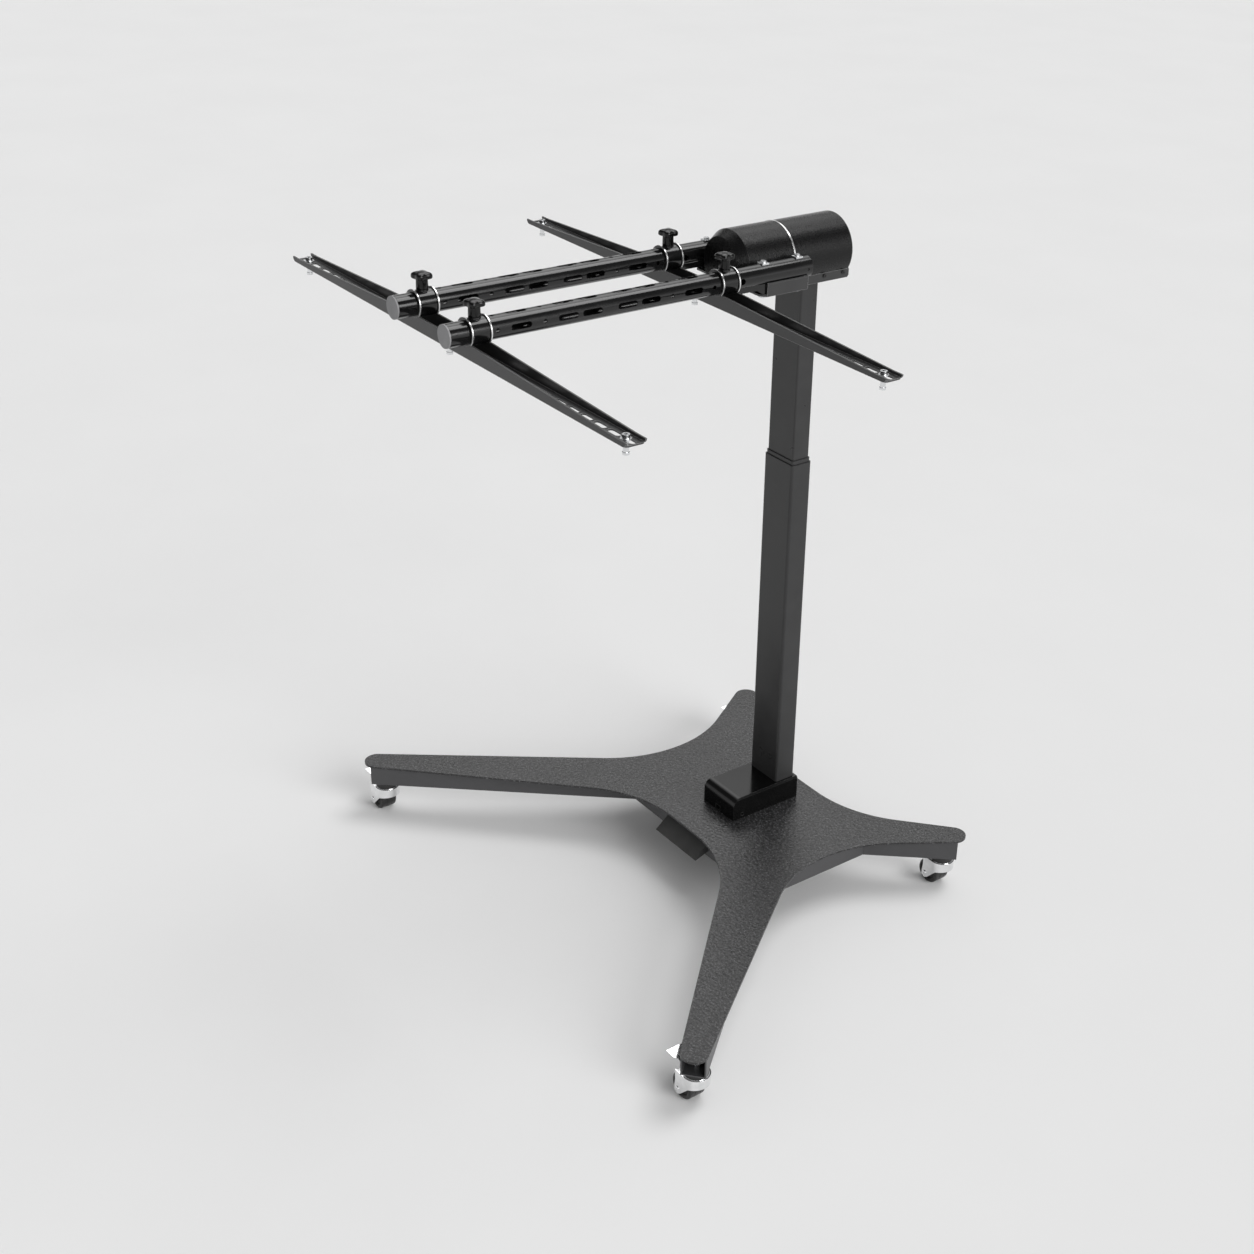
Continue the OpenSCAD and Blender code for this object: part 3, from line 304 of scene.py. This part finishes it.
def leather_grain(name, crease_shade, cells, roughness, edge):
    """Wrinkle-textured housing: rounded cells with wavering crease lines between, painted darker
    there as shade, and a fine grain.
    """
    tree, shader, place = start_finish(name, specular=0.28)
    waver = node_at(tree, "ShaderNodeTexNoise", Scale=160.0, Detail=2.0)
    scaled = node_at(tree, "ShaderNodeVectorMath", operation="SCALE", Scale=0.006)
    warp = node_at(tree, "ShaderNodeVectorMath", operation="ADD")
    pattern = node_at(tree, "ShaderNodeTexVoronoi", feature="DISTANCE_TO_EDGE", Scale=300.0)
    tree.links.new(place, waver.inputs["Vector"])
    tree.links.new(waver.outputs["Color"], scaled.inputs[0])
    tree.links.new(place, warp.inputs[0])
    tree.links.new(scaled.outputs[0], warp.inputs[1])
    tree.links.new(warp.outputs[0], pattern.inputs["Vector"])
    ridge = span(tree, pattern.outputs["Distance"], 0.0, 0.22)
    fine = noise(tree, place, scale=900.0, detail=2.0)
    # The crease lines take the darker colour: painted shade
    colour = blend_colour(tree, ridge, crease_shade, cells)
    rough = span(tree, ridge, 0.0, 1.0, roughness + 0.15, roughness)
    raised = bump(tree, ridge, distance=0.0004, strength=0.25, normal=soft_edges(tree, edge))
    normal = bump(tree, fine, distance=0.0002, strength=0.1, normal=raised)
    finish_shader(tree, shader, colour, rough, normal)


def bright_metal(name, base, roughness, edge, brushed=0.0):
    """Plated or polished metal with faint clouds and faint scratches, deeper where brushed."""
    tree, shader, place = start_finish(name, metallic=1.0)
    cloud = noise(tree, place, scale=60.0, detail=3.0)
    scratches = noise(tree, place, scale=1500.0, detail=2.0)
    colour = blend_colour(tree, span(tree, cloud, *NOISE_RANGE), base, tint(base, 0.86))
    rough = span(tree, cloud, *NOISE_RANGE, roughness - 0.03, roughness + 0.06)
    normal = bump(tree, scratches, distance=0.0001, strength=0.03 + brushed,
                  normal=soft_edges(tree, edge))
    finish_shader(tree, shader, colour, rough, normal)


def moulded(name, base, roughness, edge):
    """Moulded plastic or rubber with a fine matt grain."""
    tree, shader, place = start_finish(name, specular=0.45)
    fine = noise(tree, place, scale=700.0, detail=3.0)
    cloud = noise(tree, place, scale=25.0, detail=3.0)
    colour = blend_colour(tree, span(tree, cloud, *NOISE_RANGE), base, tint(base, 1.3, lift=0.003))
    rough = span(tree, fine, *NOISE_RANGE, roughness - 0.05, roughness + 0.07)
    normal = bump(tree, fine, distance=0.00015, strength=0.35, normal=soft_edges(tree, edge))
    finish_shader(tree, shader, colour, rough, normal)


def make_materials(look):
    """Every finish on the stand, by the name of its material slot."""
    plate = tuple(look.plate_colour)
    column = tuple(look.column_colour)
    tube = tuple(look.tube_colour)
    # The lighter colour given for the edges of each paint is a painted highlight along them
    speckled_paint("plate_paint", tint(plate, 0.3), tint(plate, 1.8), grain=150.0, roughness=0.27,
                   depth=0.0014, edge=0.0012, edge_highlight=(0.12, 0.12, 0.12))
    speckled_paint("drive", (0.10, 0.10, 0.105), (0.16, 0.16, 0.165), grain=500.0, roughness=0.5,
                   depth=0.0002, edge=0.0006, edge_highlight=(0.2, 0.2, 0.2))
    smooth_paint("frame_paint", tuple(look.arm_colour), roughness=0.36, edge=0.0010,
                 edge_highlight=(0.14, 0.14, 0.145))
    smooth_paint("column_paint", column, roughness=0.30, edge=0.0008, edge_highlight=tint(column, 3.0),
                 specular=0.33)
    smooth_paint("bracket_paint", tuple(look.bracket_colour), roughness=0.34, edge=0.0014,
                 edge_highlight=(0.40, 0.40, 0.40))
    smooth_paint("tube_gloss", tube, roughness=0.14, edge=0.0006, edge_highlight=tint(tube, 4.0),
                 coat=0.2, specular=0.40)
    smooth_paint("gloss_black", (0.0025, 0.0025, 0.0025), roughness=0.15, edge=0.0012,
                 edge_highlight=(0.02, 0.02, 0.02), specular=0.32)
    # The first colour is the painted shade in the head's crease lines
    leather_grain("head_paint", (0.0012, 0.0012, 0.0013), tuple(look.head_colour),
                  roughness=0.19, edge=0.0010)
    moulded("matt_black", (0.010, 0.010, 0.010), roughness=0.42, edge=0.0006)
    moulded("cap_grey", tuple(look.cap_colour), roughness=0.48, edge=0.0008)
    moulded("box_grey", tuple(look.box_colour), roughness=0.45, edge=0.0012)
    moulded("glide", (0.60, 0.60, 0.55), roughness=0.45, edge=0.0004)
    moulded("tread", (0.012, 0.012, 0.012), roughness=0.30, edge=0.0008)
    bright_metal("chrome", (0.90, 0.905, 0.91), roughness=0.08, edge=0.0006)
    bright_metal("zinc", (0.80, 0.81, 0.82), roughness=0.24, edge=0.0004, brushed=0.05)
    # Bright metal of the rails' eye rims, a painted highlight of the sheets' edges
    bright_metal("bright_ring", (0.93, 0.93, 0.93), roughness=0.22, edge=0.0003)
    bright_metal("steel", (0.45, 0.45, 0.46), roughness=0.35, edge=0.0006, brushed=0.06)


# Colours and sizes that can be changed in the sidebar

def colour_setting(name, description, default):
    """Property that holds one colour."""
    return bpy.props.FloatVectorProperty(
        name=name, description=description, subtype="COLOR", size=3, min=0.0, max=1.0,
        default=default)


def length_setting(name, description, low, high, default):
    """Property that holds one length."""
    return bpy.props.FloatProperty(
        name=name, description=description, subtype="DISTANCE", unit="LENGTH", min=low, max=high,
        precision=4, default=default)


def angle_setting(name, description, degrees):
    """Property that holds one angle."""
    return bpy.props.FloatProperty(
        name=name, description=description, subtype="ANGLE", unit="ROTATION",
        default=math.radians(degrees))


class StandLook(bpy.types.PropertyGroup):
    """Colours of the stand's main finishes, and sizes of its small hardware."""

    plate_colour: colour_setting("Plate", "Powder coat of the base plate", (0.018, 0.018, 0.0185))
    arm_colour: colour_setting(
        "Arms", "Paint of the arm channels and the hub frame", (0.046, 0.046, 0.048))
    column_colour: colour_setting("Column", "Paint of the lifting column", (0.028, 0.028, 0.0284))
    head_colour: colour_setting(
        "Head", "Raised cells of the head's wrinkle paint", (0.0040, 0.0040, 0.0042))
    bracket_colour: colour_setting(
        "Bracket", "Paint of the bracket and the two rails", (0.024, 0.024, 0.0245))
    tube_colour: colour_setting(
        "Tubes", "Gloss paint of the tubes, saddles and sleeves", (0.0045, 0.0045, 0.0047))
    cap_colour: colour_setting("End caps", "Plastic of the tubes' end caps", (0.19, 0.19, 0.195))
    box_colour: colour_setting("Box", "Plastic of the control box", (0.040, 0.040, 0.039))
    knob_waist: bpy.props.FloatProperty(
        name="Knob waist", description="How far a knob draws in between its lobes, of its radius",
        subtype="FACTOR", min=0.0, max=0.4, default=0.24)
    tyre_width: length_setting("Tyre width", "Width of a caster's tyre", 0.030, 0.040, 0.038)
    cup_width: length_setting(
        "Cup width", "Width of the bearing cup on a caster's hood", 0.040, 0.060, 0.0504)


class StandStage(bpy.types.PropertyGroup):
    """Place of the camera, colour of the floor and strength of the studio light."""

    camera_place: bpy.props.FloatVectorProperty(
        name="Camera place", description="Where the camera stands", subtype="TRANSLATION",
        unit="LENGTH", size=3, default=(2.727620, -1.991341, 2.427726))
    turn: angle_setting("Turn", "Camera's turn from straight ahead", 50.50081)
    tilt: angle_setting("Tilt", "Camera's tilt below level", 27.837868)
    roll: angle_setting("Roll", "Camera's roll about its view", 2.607283)
    lens: bpy.props.FloatProperty(
        name="Lens", description="Focal length on a 36 mm sensor", subtype="DISTANCE_CAMERA",
        min=10.0, max=200.0, default=52.686)
    shift: bpy.props.FloatProperty(
        name="Shift", description="Sideways shift of the view", min=-0.5, max=0.5, default=-0.1061)
    floor_colour: colour_setting("Floor", "Darker shade of the pale floor", (0.80, 0.80, 0.80))
    light: bpy.props.FloatProperty(
        name="Light", description="Strength of the studio light", min=0.1, max=5.0, default=1.0)


class STAND_OT_finishes(bpy.types.Operator):
    """Give every part of the stand its finish."""

    bl_idname = "stand.finishes"
    bl_label = "Finishes"

    def execute(self, context):
        make_materials(context.scene.stand_look)
        slots = {entry["node"]: entry["material_slot"] for entry in frame["record"]["subparts"]}
        for name, part in frame["nodes"].items():
            part.data.materials.clear()
            part.data.materials.append(bpy.data.materials[slots[name]])
        return {"FINISHED"}


# Knobs

# Gap between a knob's hub and the sleeve under it, and what its cap stays inside its box
KNOB_GAP = 0.0003
KNOB_ROOM = 0.0001
# Radius and height in metres, with the height counted from the foot, the seat and the top
KNOB_POINT = ((0.0, 0.0), (0.0038, 0.0), (0.0040, 0.0004))
KNOB_HUB = ((0.0040, 0.0), (0.0100, 0.0), (0.0108, 0.0006), (0.0110, 0.0018))
KNOB_NECK = ((0.0106, -0.0155), (0.0110, -0.0135), (0.0128, -0.0124))
# Rounded rim, counted from the cap's radius and the top
KNOB_RIM = (
    (-0.0026, -0.0122), (-0.0009, -0.0116), (0.0, -0.0100), (0.0, -0.0064),
    (-0.0006, -0.0044), (-0.0022, -0.0028), (-0.0050, -0.0016), (-0.0095, -0.0005),
)
# Last ring of the low crown, as a part of the cap's radius and a height from the top
CROWN_PART = 0.25
CROWN_HEIGHT = -0.0001
# Count of the lobes, turn of the first one, and heights from the top where they begin and are full
LOBES = 4
LOBE_TURN = math.radians(-39.0)
LOBES_BEGIN = -0.0150
LOBES_FULL = -0.0115


def knob_profile(foot, seat, top, cap):
    """Radius and height up a knob: a screw from the foot to the seat, a hub that narrows to a neck
    and flares under the cap, and a cap with a rounded rim and a low crown."""
    return np.concatenate([
        np.array(KNOB_POINT) + [0.0, foot],
        np.array(KNOB_HUB) + [0.0, seat],
        np.array(KNOB_NECK) + [0.0, top],
        np.array(KNOB_RIM) + [cap, top],
        [(cap * CROWN_PART, top + CROWN_HEIGHT), (0.0, top)],
    ])


def lobed(depth, low, high):
    """Scale of a knob's radius: 1 at its lobes and 1 - depth between them, as a cosine of the
    turn, which a smooth step of the height brings in from low to high."""
    def scale(height, t):
        step = np.clip((height - low) / (high - low), 0, 1)
        step = step * step * (3 - 2 * step)
        return 1 - depth * step * (0.5 - 0.5 * np.cos(LOBES * (t - LOBE_TURN)))
    return scale


class STAND_OT_knobs(bpy.types.Operator):
    """Put a lobed clamp knob on each tube at each rail."""

    bl_idname = "stand.knobs"
    bl_label = "Knobs"

    def execute(self, context):
        waist = context.scene.stand_look.knob_waist
        for rail in RAILS:
            seat = high_of(f"{rail}_sleeves")[2] + KNOB_GAP
            for side in SIDES:
                node = f"{rail}_{side}_knob"
                low, high = low_of(node), high_of(node)
                top = high[2]
                cap = (high[0] - low[0]) / 2 - KNOB_ROOM
                axis = (*middle(node)[:2], 0.0)
                profile = knob_profile(low[2], seat, top, cap)
                lobes = lobed(waist, top + LOBES_BEGIN, top + LOBES_FULL)
                grip = turned(profile, axis, (0, 0, 1), segments=96, lobes=lobes)
                build(f"{node}_grip", [grip], node, "gloss_black", (node,))
        return {"FINISHED"}


# Bright rims of the rail rings, which stand for the highlight along the sheets' edges round the
# tubes: a painted highlight

# Thickness of a rail's sheet, how far a rim reaches inwards and outwards and stays back from the
# sheet's faces, and the cut of its edges
SHEET = 0.003
RIM_IN = 0.0012
RIM_OUT = 0.0004
RIM_INSET = 0.0002
RIM_EDGE = 0.0004


class STAND_OT_eye_rings(bpy.types.Operator):
    """Put a bright rim on each ring that a rail has round a tube, as a painted highlight of the
    sheet's edge there.
    """

    bl_idname = "stand.eye_rings"
    bl_label = "Bright rims"

    def execute(self, context):
        for rail in RAILS:
            low, high = low_of(f"{rail}_rail"), high_of(f"{rail}_rail")
            parts = []
            for side in SIDES:
                x, _, z = middle(f"{side}_tube")
                radius = high[2] - z
                for y in (low[1] + SHEET / 2, high[1] - SHEET / 2):
                    parts.append(ring(
                        radius - RIM_IN, radius + RIM_OUT, -SHEET / 2 + RIM_INSET,
                        SHEET / 2 - RIM_INSET, (x, y, z), (0, 1, 0), RIM_EDGE))
            # These bright rims in the bright_ring finish are a painted highlight along the sheet's
            # edge
            build(f"{rail}_eye_rim_highlights", parts, f"{rail}_rail", "bright_ring")
        return {"FINISHED"}


# Casters

# Tyre in metres: its depth, the radius of its shoulders and the points on each, the drop from its
# middle to them, and its inner edge as radius over the inside and place in from the side
TYRE_DEPTH = 0.0080
SHOULDER = 0.0045
SHOULDER_POINTS = 8
SHOULDER_DROP = 0.0003
TYRE_SIDE = ((0.0, 0.0016), (0.0007, 0.0004), (0.0014, 0.0))
# Left groove of a tyre, as radius over the shoulder and place from the tyre's middle
TYRE_GROOVE = (
    (0.0, -0.0068), (-0.0007, -0.0064), (-0.0007, -0.0058), (0.0001, -0.0054), (0.0002, -0.0030),
)
# Hub of a wheel in metres: depths of its rim and its web, then its left half as radius and place,
# counted from the boss's end, from the web, from the rim at the web and from the rim at the side
RIM_DEPTH = 0.0078
WEB_DEPTH = 0.0060
HUB_BOSS = ((0.0031, 0.0), (0.0080, 0.0), (0.0088, 0.0008))
HUB_FOOT = ((0.0092, -0.0012), (0.0106, 0.0))
HUB_WEB = ((-0.0034, 0.0), (-0.0020, -0.0010))
HUB_RIM = ((-0.0014, 0.0022), (0.0, 0.0016))
# Head of an axle rivet with a dimple at its tip, as radius and height
RIVET = (
    (0.0, 0.0), (0.0054, 0.0), (0.0053, 0.0006), (0.0046, 0.0014), (0.0034, 0.0019),
    (0.0022, 0.0019), (0.0018, 0.0012), (0.0008, 0.0009), (0.0, 0.0009),
)
# How far the faces of a fork's cheeks lie inside its box, and the bearing cup's bore radius,
# height and edge
CHEEK_INSET = 0.0010
CUP_BORE = 0.0130
CUP_HEIGHT = 0.0016
CUP_EDGE = 0.0005


def tyre_profile(radius, half):
    """Radius and height across a tyre: an inner edge, a shoulder that is a quarter circle, a groove
    and the middle of the tread, then the same mirrored, and back along the inside."""
    inner = radius - TYRE_DEPTH
    outer = radius - SHOULDER_DROP
    t = np.linspace(-90, 0, SHOULDER_POINTS) * math.pi / 180
    shoulder = np.stack([outer - SHOULDER + SHOULDER * np.cos(t),
                         -half + SHOULDER + SHOULDER * np.sin(t)], 1)
    groove = np.array(TYRE_GROOVE) + [outer, 0.0]
    left = np.concatenate([np.array(TYRE_SIDE) + [inner, -half], shoulder, groove])
    return np.concatenate([left, [(radius, 0.0)], left[::-1] * [1, -1], left[:1]])


def hub_profile(radius, half, boss):
    """Radius and height across a wheel's hub: a boss out to the given height, a dished web and a
    rim under the tyre, then the same mirrored, and back along the bore."""
    rim = radius - RIM_DEPTH
    web = half - WEB_DEPTH
    left = np.concatenate([
        np.array(HUB_BOSS) + [0.0, -boss],
        np.array(HUB_FOOT) + [0.0, -web],
        np.array(HUB_WEB) + [rim, -web],
        np.array(HUB_RIM) + [rim, -half],
    ])
    return np.concatenate([left, left[::-1] * [1, -1], left[:1]])


def make_wheel(corner, width):
    """Tyre of a given width and its hub, in place of a caster's plain wheel."""
    wheel = f"{corner}_wheel"
    centre = middle(wheel)
    boss, radius = (high_of(wheel) - low_of(wheel))[1:] / 2
    tyre = turned(tyre_profile(radius, width / 2), centre, (0, 1, 0), segments=96)
    hub = turned(hub_profile(radius, width / 2, boss), centre, (0, 1, 0), segments=72)
    build(f"{corner}_tyre", [tyre], wheel, "tread", (wheel,))
    build(f"{corner}_wheel_hub", [hub], wheel, "matt_black", (wheel,))


def make_fork_hardware(corner, cup_width):
    """Rivet heads on a fork's two cheeks at the axle, and the bearing cup on its round hood, whose
    radius is half the width over the cheeks."""
    centre = middle(f"{corner}_wheel")
    low, high = low_of(f"{corner}_fork"), high_of(f"{corner}_fork")
    cheek = (high[1] - low[1]) / 2 - CHEEK_INSET
    rivets = [
        turned(RIVET, centre + [0, side * cheek, 0], (0, side, 0), segments=40)
        for side in (-1, 1)
    ]
    build(f"{corner}_axle_rivets", rivets, f"{corner}_caster", "chrome")
    pivot = (high[0] - cheek, centre[1], high[2])
    cup = ring(CUP_BORE, cup_width / 2, 0.0, CUP_HEIGHT, pivot, (0, 0, 1), CUP_EDGE)
    build(f"{corner}_bearing_cup", [cup], f"{corner}_caster", "chrome")


class STAND_OT_casters(bpy.types.Operator):
    """Put tyres, hubs, axle rivets and bearing cups on the four casters."""

    bl_idname = "stand.casters"
    bl_label = "Casters"

    def execute(self, context):
        look = context.scene.stand_look
        for corner in CORNERS:
            make_wheel(corner, look.tyre_width)
            make_fork_hardware(corner, look.cup_width)
        return {"FINISHED"}


# Stage

# Half of the floor's width, the factor between its two shades, and its roughness
FLOOR_HALF = 30.0
FLOOR_LIFT = 1.05
FLOOR_ROUGHNESS = 0.9
# Strength of the even light, and brightness of the backdrop, the same as the lit floor's
AROUND = 0.40
BACKDROP = 0.787
# What reflections see: a soft box behind on the left, and pale walls that end in a dark ceiling.
# Each has a reach, as a pair of cosines from its direction, and how bright it is at both
SOFT_BOX = (-0.48, 0.35, 0.82)
BOX_REACH = (0.88, 0.995)
BOX_SHOWN = (0.0, 2.9)
UPWARD = (0.0, 0.0, 1.0)
WALL_REACH = (0.14, 0.42)
WALL_SHOWN = (1.0, 0.12)
# Each lamp's name, the direction it stands in, its strength and its width in degrees
LAMPS = (
    ("overhead_key", (0.10, 0.45, 1.0), 1.04, 30.0),
    ("right_fill", (0.98, 0.15, 0.42), 2.1, 40.0),
)
# Camera's sensor in millimetres, and its near and far ends of view in metres
SENSOR_WIDTH = 36.0
NEAR_END = 0.05
FAR_END = 100.0


def make_floor(darker):
    """Pale floor that keeps the stand's shadow."""
    half = FLOOR_HALF
    outline = [(-half, -half, 0), (half, -half, 0), (half, half, 0), (-half, half, 0)]
    mesh = bpy.data.meshes.new("floor")
    mesh.from_pydata(outline, [], [(0, 1, 2, 3)])
    floor = bpy.data.objects.new("floor", mesh)
    bpy.context.scene.collection.objects.link(floor)
    tree, shader, place = start_finish("floor_pale", specular=0.0)
    cloud = noise(tree, place, scale=1.5, detail=3.0)
    colour = blend_colour(tree, cloud, darker, tint(darker, FLOOR_LIFT))
    tree.links.new(colour, shader.inputs["Base Color"])
    shader.inputs["Roughness"].default_value = FLOOR_ROUGHNESS
    mesh.materials.append(bpy.data.materials["floor_pale"])


def facing(tree, direction, reach, shown):
    """Brightness by how near a ray of the world is to a direction."""
    toward = node_at(tree, "ShaderNodeVectorMath", operation="DOT_PRODUCT")
    toward.inputs[1].default_value = Vector(direction).normalized()
    ray = tree.nodes.new("ShaderNodeTexCoord").outputs["Generated"]
    tree.links.new(ray, toward.inputs[0])
    return span(tree, toward.outputs["Value"], *reach, *shown)


def joined(tree, operation, first, second):
    """Two values joined by an operation of the Math node."""
    made = node_at(tree, "ShaderNodeMath", operation=operation)
    tree.links.new(first, made.inputs[0])
    tree.links.new(second, made.inputs[1])
    return made.outputs[0]


def background(tree, strength):
    """White light of one strength."""
    return node_at(tree, "ShaderNodeBackground", Color=(1.0, 1.0, 1.0, 1.0), Strength=strength)


def choose(tree, rays, first, second):
    """First light, or the second one for the given rays."""
    mix = tree.nodes.new("ShaderNodeMixShader")
    tree.links.new(rays, mix.inputs[0])
    tree.links.new(first.outputs[0], mix.inputs[1])
    tree.links.new(second.outputs[0], mix.inputs[2])
    return mix


def make_world(strength):
    """Even pale light from all round. Reflections see the soft box and the walls instead, and the
    camera sees the backdrop."""
    world = bpy.data.worlds.new("studio")
    bpy.context.scene.world = world
    world.use_nodes = True
    tree = world.node_tree
    tree.nodes.clear()
    box = facing(tree, SOFT_BOX, BOX_REACH, BOX_SHOWN)
    walls = facing(tree, UPWARD, WALL_REACH, WALL_SHOWN)
    mirrored = background(tree, 1.0)
    tree.links.new(joined(tree, "ADD", box, walls), mirrored.inputs["Strength"])
    rays = tree.nodes.new("ShaderNodeLightPath").outputs
    lit = choose(tree, rays["Is Glossy Ray"], background(tree, AROUND * strength), mirrored)
    direct = joined(tree, "MAXIMUM", rays["Is Camera Ray"], rays["Is Transmission Ray"])
    shown = choose(tree, direct, lit, background(tree, BACKDROP))
    out = tree.nodes.new("ShaderNodeOutputWorld")
    tree.links.new(shown.outputs[0], out.inputs["Surface"])


def make_lamps(strength):
    """Two wide soft lights from far away, one high up and one from the right."""
    for name, toward, power, width in LAMPS:
        data = bpy.data.lights.new(name, "SUN")
        data.energy = power * strength
        data.angle = math.radians(width)
        lamp = bpy.data.objects.new(name, data)
        lamp.rotation_euler = Vector(toward).to_track_quat("Z", "Y").to_euler()
        bpy.context.scene.collection.objects.link(lamp)


def make_camera(stage):
    """Camera at the photograph's place: it looks along +Y, turned to the left by the turn, down by
    the tilt, and rolled about its view."""
    a, e, r = stage.turn, stage.tilt, stage.roll
    ahead = Vector((-math.sin(a) * math.cos(e), math.cos(a) * math.cos(e), -math.sin(e)))
    level = Vector((math.cos(a), math.sin(a), 0.0))
    upright = level.cross(ahead)
    right = level * math.cos(r) + upright * math.sin(r)
    up = upright * math.cos(r) - level * math.sin(r)
    data = bpy.data.cameras.new("camera")
    data.sensor_width = SENSOR_WIDTH
    data.lens = stage.lens
    data.shift_x = stage.shift
    data.clip_start = NEAR_END
    data.clip_end = FAR_END
    camera = bpy.data.objects.new("camera", data)
    axes = Matrix((right, up, -ahead)).transposed().to_4x4()
    camera.matrix_world = Matrix.Translation(Vector(stage.camera_place)) @ axes
    bpy.context.scene.collection.objects.link(camera)
    bpy.context.scene.camera = camera


class STAND_OT_stage(bpy.types.Operator):
    """Set the floor, the backdrop, the lamps and the camera."""

    bl_idname = "stand.stage"
    bl_label = "Stage"

    def execute(self, context):
        stage = context.scene.stand_stage
        make_floor(tuple(stage.floor_colour))
        make_world(stage.light)
        make_lamps(stage.light)
        make_camera(stage)
        context.scene.view_settings.view_transform = "Standard"
        return {"FINISHED"}


class STAND_PT_panel(bpy.types.Panel):
    """Sidebar panel with the stand's settings and steps."""

    bl_idname = "STAND_PT_panel"
    bl_label = "Panel stand"
    bl_space_type = "VIEW_3D"
    bl_region_type = "UI"
    bl_category = "Stand"

    def draw(self, context):
        for group in (context.scene.stand_look, context.scene.stand_stage):
            for name in group.__annotations__:
                self.layout.prop(group, name)
        for step in STEPS:
            self.layout.operator(step.bl_idname)


STEPS = (STAND_OT_finishes, STAND_OT_knobs, STAND_OT_eye_rings, STAND_OT_casters, STAND_OT_stage)
CLASSES = (StandLook, StandStage, *STEPS, STAND_PT_panel)


def register():
    """Register the classes and give the scene its settings."""
    for kind in CLASSES:
        bpy.utils.register_class(kind)
    bpy.types.Scene.stand_look = bpy.props.PointerProperty(type=StandLook)
    bpy.types.Scene.stand_stage = bpy.props.PointerProperty(type=StandStage)


def unregister():
    """Take the settings and the classes away again."""
    del bpy.types.Scene.stand_stage
    del bpy.types.Scene.stand_look
    for kind in reversed(CLASSES):
        bpy.utils.unregister_class(kind)


def main():
    """Dress and stage the stand step by step."""
    register()
    bpy.ops.stand.finishes()
    bpy.ops.stand.knobs()
    bpy.ops.stand.eye_rings()
    bpy.ops.stand.casters()
    bpy.ops.stand.stage()


if __name__ == "__main__":
    main()
